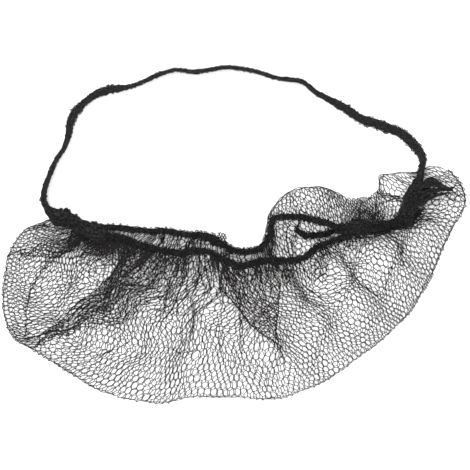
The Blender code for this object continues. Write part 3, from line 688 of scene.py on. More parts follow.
def knotMesh(places, ahead):
    # a small eight-sided knot at each place, longest along its own yarn
    across = unit(np.cross(ahead, nearlyUp))
    over = np.cross(across, ahead)
    tips = np.stack([ahead * net["knotLength"], across * net["knotWidth"], over * net["knotHeight"]], 1)
    points = (places[:, None] + np.concatenate([tips, -tips], 1)).reshape(-1, 3)
    face = np.array(((0, 1, 2), (1, 3, 2), (3, 4, 2), (4, 0, 2), (1, 0, 5), (3, 1, 5), (4, 3, 5), (0, 4, 5)))
    return points, (np.arange(len(places))[:, None, None] * 6 + face).reshape(-1, 3).tolist()


def netPiece(name, sides, part, material):
    first, last, upright = [sides[k][part] for k in (0, 1, 3)]
    length = np.linalg.norm(last - first, axis=1)
    kept = (length > net["shortestSide"]) & (length < net["longestSide"])
    first, last, upright = first[kept], last[kept], upright[kept]
    yarn = np.where(upright, net["pillarYarn"], net["slopeYarn"])
    threads = tubeMesh(np.stack([first, last], 1), np.stack([yarn, yarn], 1), net["sides"])
    ahead = unit(last - first)[upright]
    knots = knotMesh(np.concatenate([first[upright], last[upright]]), np.concatenate([ahead, ahead]))
    print(name, "sides of meshes:", int(kept.sum()), "left out:", int((~kept).sum()))
    return makePiece(name, joined(threads, knots), material, "net_pouch", smooth=False), kept.sum()


def makeNet(material, others):
    rows, points, depth, width, size = layNet()
    sides = meshSides(rows, points, depth)
    starts, ends, middles = sides[:3]
    rim = net["rim"]
    first, last = net["doubled"]
    across = (starts[:, 0] + ends[:, 0]) / 2
    front = (middles >= 0) & (middles <= 1 + rim)
    back = (middles < 0) & (middles >= -1 - rim)
    billow = (middles < -1 - rim) & (middles >= -2 - rim) & (across > first) & (across < last)
    for name, part, share, lip in (
        ("front_net", front, 1.0, "lower_lip_band"),
        ("back_net", back, 1.0, "upper_lip_band"),
        ("billow_net", billow, 0.25, "upper_lip_band"),
    ):
        piece, count = netPiece(name, sides, part, material)


# extra net at the lips. Each ruffle: where it hangs, the rows of sections that it runs between, how far it
# reaches, its layers, how tightly it is squeezed and how far it leans for each metre down
ruffles = (
    ("front", 2.2, 7.9, 0.0128, 5, 0.42, 0),
    ("front", 6.8, 10.9, 0.0118, 2, 0.45, 0),
    ("front", 4, 9.6, 0.0215, 1, 0.8, 0),
    ("front", 4.4, 8.4, 0.018, 1, 0.6, 0),
    ("front", 3.2, 9, 0.03, 1, 0.95, 0),
    ("front", 10.3, 13.6, 0.034, 1, 0.6, 0.3),
    ("front", 11, 16.6, 0.0105, 2, 0.5, 0),
    ("front", 15.2, 18.9, 0.0155, 2, 0.7, 0),
    ("front", 17.6, 21.6, 0.0125, 1, 0.6, 0),
    ("front", 19.3, 24.3, 0.0105, 3, 0.48, 0),
    ("front", 20.4, 24, 0.02, 1, 0.7, 0),
    ("front", 23.8, 26.4, 0.0115, 3, 0.5, 0),
    ("front", 23.8, 26.7, 0.027, 1, 0.85, 0),
    ("back", 19.8, 23.8, 0.012, 2, 0.72, 0),
    ("mouth", 15.2, 18.6, 0.03, 1, 0.7, 0.5),
    ("mouth", 9.4, 15, 0.03, 1, 0.85, 0.8),
)
ruffleEdges = {"front": ("front", "fold"), "back": ("back", "crest"), "mouth": ("back", "front")}
ruffling = {
    "size": 0.9,  # of its meshes, for the size of the cut
    "height": 0.85,  # of its meshes, beside those of the rest
    "swayLengths": (0.006, 0.011, 0.019),
    "sway": 0.16,
    "swayTwist": 0.006,  # how soon the sway changes on the way down
    "edgeWave": 0.0021,  # how close together its longer and shorter bits hang
    "jitter": 1.4,
    "depth": 0.0006,  # from its top layer to its lowest
    "rough": 0.0002,
    "taper": 0.008,  # how far from its ends it is shorter
}


def layRuffle(hangs, first, last, reach, layers, squeeze, lean, layer, rng):
    lip, other = ruffleEdges[hangs]
    fine = np.linspace(first, last, 600)
    run = runOf(lipAt(fine, lip)[:, :2])
    step = net["cellWidth"] / 2 * squeeze
    stops = np.arange(0, run[-1], step)[:, None]
    rise = math.sqrt(net["slope"] ** 2 - step**2) * ruffling["height"]
    pitch = rise + net["pillar"] * ruffling["height"]
    rows = np.arange(int(reach / pitch) + 2)
    level = (rows - rng.uniform(0.2, 0.9)) * pitch + zigzag(len(stops), rows) * rise
    sway = np.zeros_like(level)
    for length in ruffling["swayLengths"]:
        phase = rng.uniform(0, 2 * math.pi)
        turn = 2 * math.pi * stops / length + phase + level / ruffling["swayTwist"]
        sway += ruffling["sway"] * length * np.sin(turn)
    sway -= lean * level
    place = np.interp(stops + sway, run, fine)
    share = np.clip(level / np.maximum(gapBetween(sectionAt(place), lip, other), 1e-4), 0, 1)
    if hangs == "mouth":
        # net that hangs across the open mouth, just above the layer behind
        points = lipAt(place, "back") * (1 - share[..., None]) + lipAt(place, "front") * share[..., None]
        points[..., 2] = pouch["lowLevel"]
    else:
        points = wallPoint(place, 1 - share if lip == "front" else share - 2)
    points[..., :2] += rng.normal(0, net["jitter"] * ruffling["jitter"], points[..., :2].shape)
    height = ruffling["depth"] / 2 - ruffling["depth"] * (layer + 1) / layers
    points[..., 2] += height + rng.normal(0, ruffling["rough"], points.shape[:2])
    points[..., 2] = np.maximum(points[..., 2], lowestKnot)
    taper = np.clip(np.minimum(stops, run[-1] - stops) / ruffling["taper"], 0.15, 1)
    edgeReach = reach * taper * (0.75 + 0.25 * np.sin(stops / ruffling["edgeWave"] + rng.uniform(0, 6)))
    return rows, points, (level >= edgeReach) | (share >= 0.98)


def makeRuffles(material):
    rng = np.random.default_rng(17)
    lots = []
    for row in ruffles:
        for layer in range(row[4]):
            rows, points, outside = layRuffle(*row, layer, rng)
            lots.append(meshSides(rows, points, outside.astype(float)))
    sides = stacked(lots)
    piece, count = netPiece("ruffled_net", sides, sides[2] == 0, material)


# two thin yarns cross over each other along every edge: the line that they follow, the rows of sections
# between which they run, how far in they lie and their thickness
edgeYarns = (
    ("crest", 15.6, 19.9, 0.0001, 0.00021),
    ("crest", 22.2, 27, 0.0002, 0.00018),
    ("fold", 18.6, 26.9, 0.0012, 0.00018),
    ("fold", 0.3, 2.3, 0.001, 0.00016),
    ("fold", 2.4, 8.5, 0.0011, 0.00016),
    ("fold", 8.7, 18.4, 0.0009, 0.00012),
)
edging = {
    "crossing": (0.00022, 0.0011),  # how far its two strands swing, and how often
    "sway": (0.00025, 0.0037),
    "height": 0.0011,
    "bob": (0.0006, 0.0045),
}


def ripple(run, size, length, phase):
    return size * np.sin(run / length + phase)


def makeEdgeYarns(material):
    rng = np.random.default_rng(19)
    parts = []
    for edge, first, last, inside, thickness in edgeYarns:
        places = np.linspace(first, last, 40 + int(30 * (last - first)))
        line = edgeOf(sectionAt(places), edge)
        ahead = unit(np.gradient(line, axis=0))
        inward = np.stack([-ahead[:, 1], ahead[:, 0]], -1) * (-1 if edge == "crest" else 1)
        run = runOf(line)
        for strand in (0, 1):
            swing = ripple(run, *edging["crossing"], strand * math.pi)
            swing += ripple(run, *edging["sway"], rng.uniform(0, 6))
            height = edging["height"] + ripple(run, *edging["bob"], strand)
            path = np.concatenate([line + inward * (inside + swing)[:, None], height[:, None]], 1)
            parts.append(tubeMesh(path[None], np.full((1, len(path)), thickness), 5))
    return makePiece("edge_yarn", joined(*parts), material, "net_pouch")


# knitted elastic: the head loop, the two lip bands and the loose tail
elastic = {
    "bandThickness": 0.0018,
    "loopWidth": 0.0044,
    "tailWidth": 0.0030,
    "tailThickness": 0.0016,
    "seamGap": 0.0003,
    "bandPlaces": (4.9, 23.95),  # rows of sections where the two bands run into the gathers
    # how wide the upper band is where it is folded over, by the row of sections
    "bandFold": ((11.0, 12.0, 12.72, 12.95), (1.0, 1.2, 1.42, 1.0)),
    "foldRise": 0.35,  # how much of that extra width lies above the mouth line
    "step": 0.0005,  # between rings of points along a strap
    "around": 16,
    "corner": 0.50,  # 1 is an oval section, 0 a square one
    "coreWidth": 0.93,
    "core": 0.50,  # half height under the stitches, as a share of half the thickness
    "wales": 3,  # columns of stitches on each face
    "stitch": 0.00125,  # length of one stitch
    "legShare": 0.255,  # thickness of a stitch's yarn, as a share of a column's width
    "rough": 0.00012,
    "lump": 0.00034,
    "lumpLength": 0.0009,
    "edgeInset": 0.00036,  # how far inside the strap's full width the knitting ends
    "edgeLoop": 0.00070,  # how far the loops at the edges stand out
    "edgeYarn": 0.00027,
    "faceLoop": (0.00030, 0.00075),
    "hairs": 9,  # loose fibres on each millimetre
    "hairLength": (0.0006, 0.0015),
    "hairThickness": 0.000050,
    "lowest": 0.00004,  # nothing goes nearer to the table
}

# from the left gather over the top: share of half the pouch's width, share of the loop's reach above the
# mouth line and turn of the ribbon in degrees; then, where it climbs on to the gathers or isn't as wide as
# the rest, its climb and its width
loopRoute = (
    (-0.8, 0.096, 20, 0.62, 0.72), (-0.812, 0.135, 40, 0.42, 0.85), (-0.816, 0.192, 50, 0.1, 1),
    (-0.802, 0.269, 60), (-0.781, 0.346, 60), (-0.76, 0.417, 68), (-0.73, 0.481, 66), (-0.712, 0.558, 50),
    (-0.703, 0.635, 28), (-0.69, 0.692, 12), (-0.656, 0.756, 28), (-0.614, 0.808, 32), (-0.567, 0.846, 12),
    (-0.515, 0.865, 22), (-0.459, 0.875, 60), (-0.399, 0.904, 72), (-0.335, 0.949, 66), (-0.292, 0.971, 74),
    (-0.245, 0.987, 82), (-0.176, 0.974, 68), (-0.103, 0.987, 74), (-0.052, 1, 78), (0.004, 1, 72),
    (0.099, 0.974, 75), (0.189, 0.933, 72), (0.279, 0.917, 66), (0.313, 0.891, 68), (0.356, 0.837, 60),
    (0.421, 0.788, 42), (0.498, 0.721, 5), (0.549, 0.673, 5), (0.635, 0.628, 0, 0, 1.12),
    (0.712, 0.587, 0, 0, 1.15), (0.763, 0.519, 0, 0.05, 1.12), (0.8, 0.452, 12, 0.25, 1),
    (0.808, 0.394, 30, 0.62, 0.9), (0.8, 0.345, 20, 0.72, 0.85),
)
# the tail from its free end to the bands: the same, but the second number is a share of the pouch's reach
tailRoute = (
    (0.264, -0.028, 0, 0.02, 0.85), (0.305, -0.062, 8, 0.02, 1.15), (0.356, -0.062, 5, 0.04, 1.1),
    (0.402, -0.052, 0, 0.08, 1.05), (0.431, -0.036, 0, 0.16, 1),
)

# the legs of the stitches, and the loops that stand out at the edges and from the faces: how far along the
# stitch each point lies, how far aside in columns or half widths, and how far out
legRun = ((0.0, 0.10, -0.35), (0.55, 0.60, 0.30), (1.15, 0.78, -0.30))
edgeRun = ((0.0, 0.0), (0.25, 0.9), (0.65, 1.0), (0.95, 0.0))
faceRun = ((0.0, 0.0, 0.0), (0.3, 0.12, 0.9), (0.6, 0.12, 1.0), (0.9, 0.0, 0.0))
loopTaper = (0.8, 1.0, 1.0, 0.8)


def roughLine(count, smooth, seed):
    # random values along a line, smoothed over so many of them, about -1 to 1
    rng = np.random.default_rng(seed)
    kernel = np.hanning(2 * smooth + 3)[1:-1]
    values = np.convolve(rng.normal(0, 1, count + len(kernel) - 1), kernel / np.linalg.norm(kernel), "valid")
    return values / 1.5


def evenly(rows, step):
    # the same curve with a row at every step along it
    fine = curveThrough(rows, np.linspace(0, len(rows) - 1, 40 * len(rows)))
    run = runOf(fine[:, :3])
    stops = np.linspace(0, run[-1], int(run[-1] / step) + 1)
    return np.stack([np.interp(stops, run, column) for column in fine.T], -1)


def strapFrames(centres, turns):
    # which way a strap's width and thickness point, all along it
    ahead = np.gradient(centres, axis=0)
    ahead[:, 2] *= 0.3
    ahead = unit(ahead)
    sideways = unit(np.cross(ahead, (0.0, 0.0, 1.0)))
    upward = np.cross(sideways, ahead)
    cosTurn = np.cos(turns)[:, None]
    sinTurn = np.sin(turns)[:, None]
    return sideways * cosTurn + upward * sinTurn, upward * cosTurn - sideways * sinTurn


def squaredRing(around, power):
    # a circle of points, the squarer the nearer the power is to 0
    angle = 2 * math.pi * (np.arange(around) + 0.5) / around
    circle = np.stack([np.cos(angle), np.sin(angle)])
    return np.sign(circle) * np.abs(circle) ** power, angle


def coreRings(ribbon):
    # points round the inside of a ribbon, ring by ring
    across, over = squaredRing(elastic["around"], elastic["corner"])[0]
    halfWidth = ribbon["halfWidths"][:, None] * elastic["coreWidth"]
    out = ribbon["wide"][:, None] * (across * halfWidth)[..., None]
    up = ribbon["thick"][:, None] * (over * ribbon["halfHeight"] * elastic["core"])[:, None]
    return ribbon["centres"][:, None] + out + up


def onRibbon(ribbon, along, across, level):
    # a spot on a ribbon: metres along it, half widths across it and metres above its middle
    centre, wide, thick = [
        np.stack([np.interp(along, ribbon["stops"], column) for column in ribbon[name].T], -1)
        for name in ("centres", "wide", "thick")
    ]
    half = np.interp(along, ribbon["stops"], ribbon["halfWidths"])
    return centre + wide * (across * half)[..., None] + thick * level[..., None]


def stitchStarts(ribbon, stitch, inset):
    return np.arange(inset * stitch, ribbon["stops"][-1] - (1 + inset) * stitch, stitch)


def knitStitches(ribbon, rng):
    # the two slanting legs of every knitted stitch, on both faces
    wales, stitch, rough = elastic["wales"], elastic["stitch"], elastic["rough"]
    column = 1 / wales
    radius = elastic["legShare"] * ribbon["halfWidths"].mean() * 2 * column
    starts = stitchStarts(ribbon, stitch, 0.2)
    paths = []
    legs = [(face, wale, side) for face in (1, -1) for wale in range(wales) for side in (-1, 1)]
    for face, wale, side in legs:
        along = starts + 0.5 * stitch * (wale % 2) + rng.normal(0, rough, len(starts))
        spots = []
        for forward, aside, lift in legRun:
            across = (2 * wale + 1) * column - 1 + side * aside * column + rng.normal(0, 0.03, len(starts))
            arch = np.maximum(0, 1 - across**4) ** 0.25
            level = face * (ribbon["halfHeight"] * elastic["core"] * arch + lift * radius)
            level = level + face * rng.normal(0, rough / 2, len(starts))
            spots.append(onRibbon(ribbon, along + forward * stitch, across, level))
        paths.append(np.stack(spots, 1))
    return yarnMesh(np.concatenate(paths), radius, (0.80, 1.15), (0.75, 1.0, 0.75), 5, rng)


def edgeLoops(ribbon, rng):
    # small loops of yarn that stand out along both edges
    stitch = elastic["stitch"] * 0.95
    starts = stitchStarts(ribbon, stitch, 0.2)
    rest = 0.86
    paths = []
    for side in (-1, 1):
        stand = 1 + elastic["edgeLoop"] / ribbon["halfWidths"].mean() * rng.uniform(-0.1, 1.3, len(starts))
        along = starts + rng.normal(0, 1.5 * elastic["rough"], len(starts))
        level = rng.normal(0, 0.25, len(starts)) * ribbon["halfHeight"]
        spots = []
        for forward, reach in edgeRun:
            across = side * (rest + (stand - rest) * reach)
            spots.append(onRibbon(ribbon, along + forward * stitch, across, level))
        paths.append(np.stack(spots, 1))
    return yarnMesh(np.concatenate(paths), elastic["edgeYarn"], (0.75, 1.25), loopTaper, 5, rng)


def faceLoops(ribbon, rng):
    # loops of yarn that stand up from both faces, so that no side of the strap is smooth
    stitch = elastic["stitch"] * 0.9
    starts = stitchStarts(ribbon, stitch, 0.3)
    surface = ribbon["halfHeight"] * elastic["core"]
    paths = []
    for face, middle in ((1, -0.45), (1, 0.45), (-1, -0.45), (-1, 0.45)):
        along = starts + rng.uniform(-0.4, 0.4, len(starts)) * stitch
        across = middle + rng.normal(0, 0.18, len(starts))
        stand = rng.uniform(*elastic["faceLoop"], len(starts))
        spots = []
        for forward, aside, reach in faceRun:
            level = face * (surface + stand * reach)
            spots.append(onRibbon(ribbon, along + forward * stitch, across + aside, level))
        paths.append(np.stack(spots, 1))
    return yarnMesh(np.concatenate(paths), elastic["edgeYarn"], (0.6, 1.0), loopTaper, 4, rng)


def looseFibres(name, rings, kind, material, seed):
    # short hairs that stand off a surface given as rings of points; kind says how many and how long
    rng = np.random.default_rng(seed)
    count = int(kind["hairs"] * 1000 * kind["step"] * len(rings))
    ring = rng.integers(1, len(rings) - 1, count)
    spot = rng.integers(0, rings.shape[1], count)
    roots = rings[ring, spot]
    outward = unit(roots - rings.mean(axis=1)[ring])
    ahead = unit(rings[ring + 1, spot] - rings[ring - 1, spot])
    lean = rng.normal(0, 0.9, (count, 1)) * ahead + rng.normal(0, 0.35, (count, 3))
    length = rng.uniform(*kind["hairLength"], (count, 1)) * rng.uniform(0.5, 1.0, (count, 1))
    first = unit(outward + lean)
    second = unit(first + rng.normal(0, 0.8, (count, 3)))
    middle = roots + first * length * 0.5
    paths = np.stack([roots - outward * elastic["rough"], middle, middle + second * length * 0.5], 1)
    paths[..., 2] = np.maximum(paths[..., 2], elastic["lowest"] + 0.00002)
    hairs = yarnMesh(paths, elastic["hairThickness"], (0.7, 1.3), (1.0, 0.8, 0.35), 3, rng)
    return makePiece(name, hairs, material)


def makeRibbon(name, rows, thickness, material, seed):
    # rows: feet of the ribbon, its turn and its width; the feet are its lowest side
    rng = np.random.default_rng(seed + 40)
    turns, widths = rows[:, 3], rows[:, 4]
    centres = rows[:, :3].copy()
    centres[:, 2] += (widths * np.abs(np.sin(turns)) + thickness * np.abs(np.cos(turns))) / 2
    wide, thick = strapFrames(centres, turns)
    smooth = int(elastic["lumpLength"] / elastic["step"])
    lump = 0.5 * elastic["lump"]
    centres += wide * (lump * roughLine(len(rows), smooth, seed))[:, None]
    ribbon = {
        "centres": centres,
        "wide": wide,
        "thick": thick,
        "stops": np.arange(len(rows)) * elastic["step"],
        "halfWidths": widths / 2 + lump * roughLine(len(rows), smooth, seed + 1) - elastic["edgeInset"],
        "halfHeight": thickness / 2,
    }
    rings = coreRings(ribbon)
    core = rings.reshape(-1, 3), tubeFaces(1, len(rings), elastic["around"])
    points, faces = joined(core, knitStitches(ribbon, rng), edgeLoops(ribbon, rng), faceLoops(ribbon, rng))
    points[:, 2] = np.maximum(points[:, 2], elastic["lowest"])
    makePiece(name + "_knit", (points, faces), material, name)
    looseFibres(name + "_fuzz", rings, elastic, material, seed + 9)


def strapRoute(route, reachUp, width):
    rows = []
    for x, y, turn, *more in route:
        climb, share = more or (0, 1)
        foot = (x * pouch["width"] / 2, mouthLine + y * reachUp, climb * bunch["height"])
        rows.append((*foot, math.radians(turn), width * share))
    return evenly(np.array(rows), elastic["step"])


def makeElastic(loopFinish, bandFinish):
    loop = strapRoute(loopRoute, pouch["loopReach"], elastic["loopWidth"])
    makeRibbon("head_loop", loop, pouch["loopThickness"], loopFinish, 21)
    tail = strapRoute(tailRoute, pouch["reach"], elastic["tailWidth"])
    tail[:, 2] += pouch["netWall"] + elastic["seamGap"]
    makeRibbon("loose_tail", tail, elastic["tailThickness"], bandFinish, 22)
    for name, side, seed in (("upper_lip_band", "back", 23), ("lower_lip_band", "front", 24)):
        places = np.linspace(*elastic["bandPlaces"], 400)
        feet = lipAt(places, side)
        feet[:, 2] += pouch["netWall"] / 2 + elastic["seamGap"]
        widths = np.full(len(feet), pouch["bandWidth"])
        if side == "back":
            widths *= np.interp(places, *elastic["bandFold"])
            feet[:, 1] += (widths - pouch["bandWidth"]) * elastic["foldRise"]
        rows = np.concatenate([feet, sectionAt(places)["turn"][:, None], widths[:, None]], 1)
        makeRibbon(name, evenly(rows, elastic["step"]), elastic["bandThickness"], bandFinish, seed)


# net bunched up at both ends of the mouth
bunch = {
    "height": 0.0042,
    "step": 0.0003,
    "around": 64,
    "corner": 0.6,  # 1 is an oval section, 0 a square one
    "ridge": 0.00042,  # creases that run along the bunch
    "ridges": (5, 8, 13),
    "lump": 0.00050,
    "strands": 120,
    "strandThickness": 0.00025,
    "strandSpan": (0.2, 0.8),  # how much of the bunch's length a strand runs along
    "strandWander": (7, 0.9),  # how far round it slants and strays, in points of a ring
    "strandBulge": (-0.3, 3.6),  # how far it stands out in the middle, in its own thicknesses
    "hairs": 26,  # loose fibres on each millimetre
    "hairLength": (0.0007, 0.0023),
    "wraps": 8,  # stitches across the right gather
    "wrapThickness": 0.00026,
    "wrapLevel": 0.00010,
    "tuftYarn": (0.00012, 0.00030),
    "tuftDroop": 0.0014,
    "tuftStray": 0.00006,  # how far a strand of it strays at every point
    "rough": 0.00008,
    "loopLevel": 0.0052,
    "loopBob": 0.0005,
    "loopHeading": (0.84, -0.54),  # which way the width of the loops on top runs
    "loopHairs": 30,
}
bunchPoints = 14  # along a strand or a loop of yarn

# each row of a bunch: where its middle lies, half its width and half its height, in metres
leftGather = (
    (-0.0950, 0.0186, 0.0036, 0.0013, 0.0010),
    (-0.0928, 0.0138, 0.0042, 0.0018, 0.0016),
    (-0.0884, 0.0090, 0.0047, 0.0034, 0.0020),
    (-0.0830, 0.0076, 0.0049, 0.0036, 0.0021),
    (-0.0770, 0.0046, 0.0049, 0.0034, 0.0021),
    (-0.0720, 0.0026, 0.0048, 0.0037, 0.0020),
    (-0.0675, 0.0008, 0.0046, 0.0042, 0.0017),
    (-0.0635, -0.0006, 0.0043, 0.0036, 0.0010),
)
rightGather = (
    (0.0934, 0.0326, 0.0040, 0.0015, 0.0012),
    (0.0921, 0.0276, 0.0044, 0.0021, 0.0017),
    (0.0909, 0.0234, 0.0048, 0.0029, 0.0021),
    (0.0892, 0.0190, 0.0049, 0.0039, 0.0021),
    (0.0875, 0.0146, 0.0049, 0.0042, 0.0021),
    (0.0858, 0.0106, 0.0048, 0.0036, 0.0021),
    (0.0846, 0.0072, 0.0047, 0.0040, 0.0019),
    (0.0828, 0.0046, 0.0045, 0.0030, 0.0014),
)
betweenBands = (
    (0.0838, 0.0052, 0.0046, 0.0022, 0.0014),
    (0.0790, 0.0049, 0.0046, 0.0019, 0.0014),
    (0.0740, 0.0047, 0.0046, 0.0019, 0.0014),
    (0.0690, 0.0040, 0.0046, 0.0024, 0.0015),
    (0.0640, 0.0036, 0.0047, 0.0029, 0.0016),
    (0.0590, 0.0032, 0.0049, 0.0034, 0.0016),
    (0.0555, 0.0026, 0.0050, 0.0027, 0.0014),
    (0.0528, 0.0021, 0.0050, 0.0020, 0.0010),
    (0.0500, 0.0023, 0.0050, 0.0014, 0.0006),
)

# the tuft beside the right gather, bundle by bundle: its strands, how high it lies, then rows of points along
# its upper and its lower edge
tuftBundles = (
    (62, 0.0060, 0.0082, (
        (0.0938, 0.0262, 0.0935, 0.0240), (0.0965, 0.0283, 0.0962, 0.0242), (0.0990, 0.0285, 0.0985, 0.0242),
        (0.1011, 0.0275, 0.1006, 0.0241), (0.1025, 0.0255, 0.1022, 0.0238), (0.1058, 0.0238, 0.1056, 0.0232),
        (0.1089, 0.0229, 0.1086, 0.0226)
    )),
    (34, 0.0054, 0.0072, (
        (0.0930, 0.0215, 0.0925, 0.0170), (0.0960, 0.0226, 0.0955, 0.0196), (0.0985, 0.0229, 0.0983, 0.0208),
        (0.1010, 0.0231, 0.1008, 0.0215), (0.1045, 0.0231, 0.1040, 0.0222), (0.1090, 0.0226, 0.1086, 0.0222)
    )),
    (14, 0.0052, 0.0062, (
        (0.0925, 0.0170, 0.0920, 0.0145), (0.0955, 0.0182, 0.0950, 0.0165), (0.0985, 0.0197, 0.0980, 0.0182),
        (0.1010, 0.0206, 0.1008, 0.0192), (0.1040, 0.0213, 0.1038, 0.0202), (0.1075, 0.0219, 0.1072, 0.0210)
    )),
    (2, 0.0050, 0.0060, (
        (0.1040, 0.0238, 0.1030, 0.0232), (0.1065, 0.0232, 0.1062, 0.0226), (0.1088, 0.0236, 0.1090, 0.0228),
        (0.1102, 0.0256, 0.1106, 0.0252), (0.1110, 0.0281, 0.1115, 0.0278), (0.1116, 0.0300, 0.1121, 0.0298)
    )),
)

# small loops of yarn on top of the left gather: middle, half width, height and thickness
topLoops = (
    (-0.0870, 0.0112, 0.0006, 0.0022, 0.00056),
    (-0.0846, 0.0108, 0.0008, 0.0026, 0.00064),
    (-0.0832, 0.0102, 0.0008, 0.0024, 0.00064),
    (-0.0797, 0.0080, 0.0008, 0.0024, 0.00060),
)

# the fine thread beside them
fineThread = {
    "root": (-0.0836, 0.0118),
    "rise": (0.0012, 0.0034, 0.0008),
    "bend": -0.0008,
    "thickness": 0.00006,
}


def bunchRings(rows, seed):
    rng = np.random.default_rng(seed)
    fine = evenly(np.array(rows), bunch["step"])
    count = len(fine)
    ahead = unit(np.gradient(fine[:, :3], axis=0) * (1, 1, 0))
    sideways = np.stack([ahead[:, 1], -ahead[:, 0], np.zeros(count)], -1)
    (across, over), angle = squaredRing(bunch["around"], bunch["corner"])
    sunk = np.zeros((count, bunch["around"]))
    for folds in bunch["ridges"]:
        wander = np.cumsum(roughLine(count, 8, seed + folds)) * 0.05
        sunk += bunch["ridge"] / 2 * np.abs(np.sin(folds * angle / 2 + wander[:, None] + rng.uniform(0, 6)))
    right, left = [roughLine(count, 4, seed + more)[:, None] for more in (3, 4)]
    lumps = bunch["lump"] * np.where(across > 0, right, left) * np.abs(across)
    out = sideways[:, None] * (across * (fine[:, 3:4] - sunk + lumps))[..., None]
    up = np.array((0.0, 0.0, 1.0)) * (over * (fine[:, 4:5] - sunk))[..., None]
    return fine[:, None, :3] + out + up


def surfaceStrands(rings, rng):
    # yarn that wanders along the skin of a bunch
    along = np.linspace(0, 1, bunchPoints)
    slant = np.linspace(-1, 1, bunchPoints)
    around = rings.shape[1]
    thickness = bunch["strandThickness"]
    slants, strays = bunch["strandWander"]
    paths = []
    radii = []
    for strand in range(bunch["strands"]):
        span = rng.uniform(*bunch["strandSpan"])
        start = rng.uniform(0, 1 - span)
        ring = rings[((start + span * along) * (len(rings) - 1)).astype(int)]
        spot = rng.uniform(0, around) + rng.normal(0, slants) * slant + rng.normal(0, strays, bunchPoints)
        here = ring[np.arange(bunchPoints), np.round(spot).astype(int) % around]
        bulge = np.sin(math.pi * along)[:, None] * rng.uniform(*bunch["strandBulge"]) * thickness
        paths.append(here + unit(here - ring.mean(axis=1)) * bulge)
        radii.append(thickness * rng.uniform(0.6, 1.2) * np.array([0.5, *np.ones(bunchPoints - 2), 0.5]))
    return tubeMesh(paths, radii, 5)


def crossStitches(rings, rng):
    # yarn laid across the upper side of a bunch
    spots = np.linspace(2, bunch["around"] // 2 - 3, 12).astype(int)
    paths = []
    for k in range(bunch["wraps"]):
        ring = int(len(rings) * (0.42 + 0.45 * k / bunch["wraps"]) + rng.integers(-2, 3))
        along = ring + np.round(rng.normal(0, 3) * np.linspace(-1, 1, len(spots))).astype(int)
        paths.append(rings[np.clip(along, 0, len(rings) - 1), spots] + (0, 0, bunch["wrapLevel"]))
    return tubeMesh(paths, np.full((len(paths), len(spots)), bunch["wrapThickness"]), 6)


def makeBunch(name, rows, node, material, seed, stitched=False):
    rings = bunchRings(rows, seed)
    body = rings.reshape(-1, 3), tubeFaces(1, len(rings), bunch["around"])
    makePiece(name + "_body", body, material, node)
    parts = [surfaceStrands(rings, np.random.default_rng(seed + 1))]
    if stitched:
        parts.append(crossStitches(rings, np.random.default_rng(seed + 7)))
    makePiece(name + "_strands", joined(*parts), material, node)
    looseFibres(name + "_fuzz", rings, bunch, material, seed + 2)


def makeTuft(material):
    # the net that stands out beside the right gather, strand by strand
    rng = np.random.default_rng(41)
    rings = 15
    along = np.linspace(0, 1, rings)
    slant = np.linspace(-1, 1, rings)
    paths = []
    radii = []
    for strands, low, high, rows in tuftBundles:
        edges = curveThrough(rows, np.linspace(0, len(rows) - 1, rings))
        upper, lower = edges[:, :2], edges[:, 2:]
        for strand in range(strands):
            lane = rng.uniform(0, 1) + rng.normal(0, 0.10) * slant
            lane = np.clip(lane, -0.04, 1.04)[:, None]
            stray = np.cumsum(rng.normal(0, bunch["tuftStray"], (rings, 2)), axis=0)
            flat = upper * (1 - lane) + lower * lane + stray
            height = rng.uniform(low, high) - bunch["tuftDroop"] * along**2
            height = height + rng.normal(0, bunch["rough"], rings)
            path = np.concatenate([flat, np.minimum(height, high)[:, None]], 1)
            path = path[:rng.integers(9, rings + 1) if rng.uniform() < 0.6 else rings]
            step = np.linalg.norm(np.diff(path, axis=0), axis=1).sum() / (rings - 0.5)
            paths.append(evenly(path, step)[:rings])
            radii.append(rng.uniform(*bunch["tuftYarn"]) * np.interp(along, (0, 0.6, 1), (1.2, 1.0, 0.45)))
    tuft = tubeMesh(paths, radii, 6)
    makePiece("right_tuft_strands", tuft, material, "right_tuft")


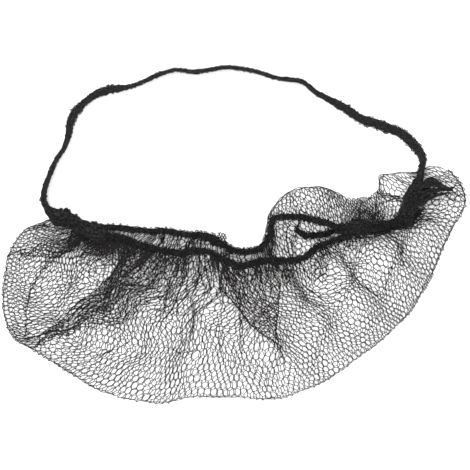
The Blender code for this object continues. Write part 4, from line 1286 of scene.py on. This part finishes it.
def makeTopLoops(material):
    # the small loops of yarn that stand up from the left gather, and one fine thread
    rng = np.random.default_rng(47)
    paths = []
    radii = []
    swing = np.linspace(-0.15, 1.15, bunchPoints)[:, None] * math.pi
    right, up = bunch["loopHeading"]
    for x, y, half, height, thickness in topLoops:
        across = np.array((right, up)) * half
        out = np.array((-up, right)) * height
        flat = np.array((x, y)) - np.cos(swing) * across + np.sin(swing) * out
        level = bunch["loopLevel"] + bunch["loopBob"] * np.sin(swing) * rng.uniform(0.3, 1)
        path = np.concatenate([flat, level], 1)
        paths.append(path + rng.normal(0, bunch["rough"], path.shape))
        radii.append(thickness * rng.uniform(0.85, 1.15, bunchPoints))
    along = np.linspace(0, 1, bunchPoints)[:, None]
    root = np.array((*fineThread["root"], bunch["loopLevel"]))
    paths.append(root + along * fineThread["rise"] + along**2 * (fineThread["bend"], 0, 0))
    radii.append(np.full(bunchPoints, fineThread["thickness"]))
    loops = tubeMesh(paths, radii, 8)
    makePiece("left_gather_loops", loops, material, "left_gather")
    angle = 2 * math.pi * np.arange(8) / 8
    circle = np.stack([np.cos(angle), np.sin(angle), 0 * angle], -1)
    hairs = {"hairs": bunch["loopHairs"], "step": bunch["step"], "hairLength": elastic["hairLength"]}
    for k, (path, loop) in enumerate(zip(paths, topLoops)):
        rings = path[:, None] + circle * loop[4]
        looseFibres("left_loop_fuzz_%d" % k, rings, hairs, material, 50 + k)


# the scrap of net that shows above the upper band
scrap = {
    "columns": 7,
    "rows": 5,
    "layers": 2,
    "place": (-0.0082, -0.0034, 0.0052),
    "columnStep": 0.00068,
    "rowStep": 0.00112,
    "slant": 0.00012,
    "rise": 0.00072,
    "layerStep": (0.00034, 0.0005),  # how far each layer lies beside and above the last
    "rough": 0.0001,
}


def makeNetCorner(material):
    rng = np.random.default_rng(53)
    rows = np.arange(scrap["rows"])
    column = np.arange(scrap["columns"])[:, None]
    x, y, z = scrap["place"]
    beside, above = scrap["layerStep"]
    lots = []
    for layer in range(scrap["layers"]):
        across = x + scrap["columnStep"] * column + beside * layer + 0 * rows
        up = y + scrap["rowStep"] * rows - scrap["slant"] * column
        up = up + zigzag(len(column), rows) * scrap["rise"]
        points = np.stack([across, up, np.full_like(up, z + above * layer)], -1)
        points += rng.normal(0, scrap["rough"], points.shape)
        lots.append(meshSides(rows, points, np.zeros(up.shape)))
    sides = stacked(lots)
    return netPiece("net_corner", sides, sides[2] == 0, material)[0]


makeCamera()
makeLight()
makeFloor()
bpy.context.scene.view_settings.view_transform = "Standard"
print("studio ready")

netYarn = makeFinish("black nylon net yarn")
makeNet(netYarn, [makeEdgeYarns(netYarn), makeNetCorner(netYarn)])
makeRuffles(netYarn)
print("net laid")
makeElastic(makeFinish("knitted elastic"), makeFinish("sewn elastic"))
print("elastic knitted")
bunched = makeFinish("bunched net")
makeBunch("left_gather", leftGather, "left_gather", bunched, 31)
makeBunch("right_gather", rightGather, "right_gather", bunched, 35, stitched=True)
makeBunch("between_bands", betweenBands, "net_pouch", bunched, 38)
makeTuft(bunched)
makeTopLoops(bunched)
print("ends bunched")
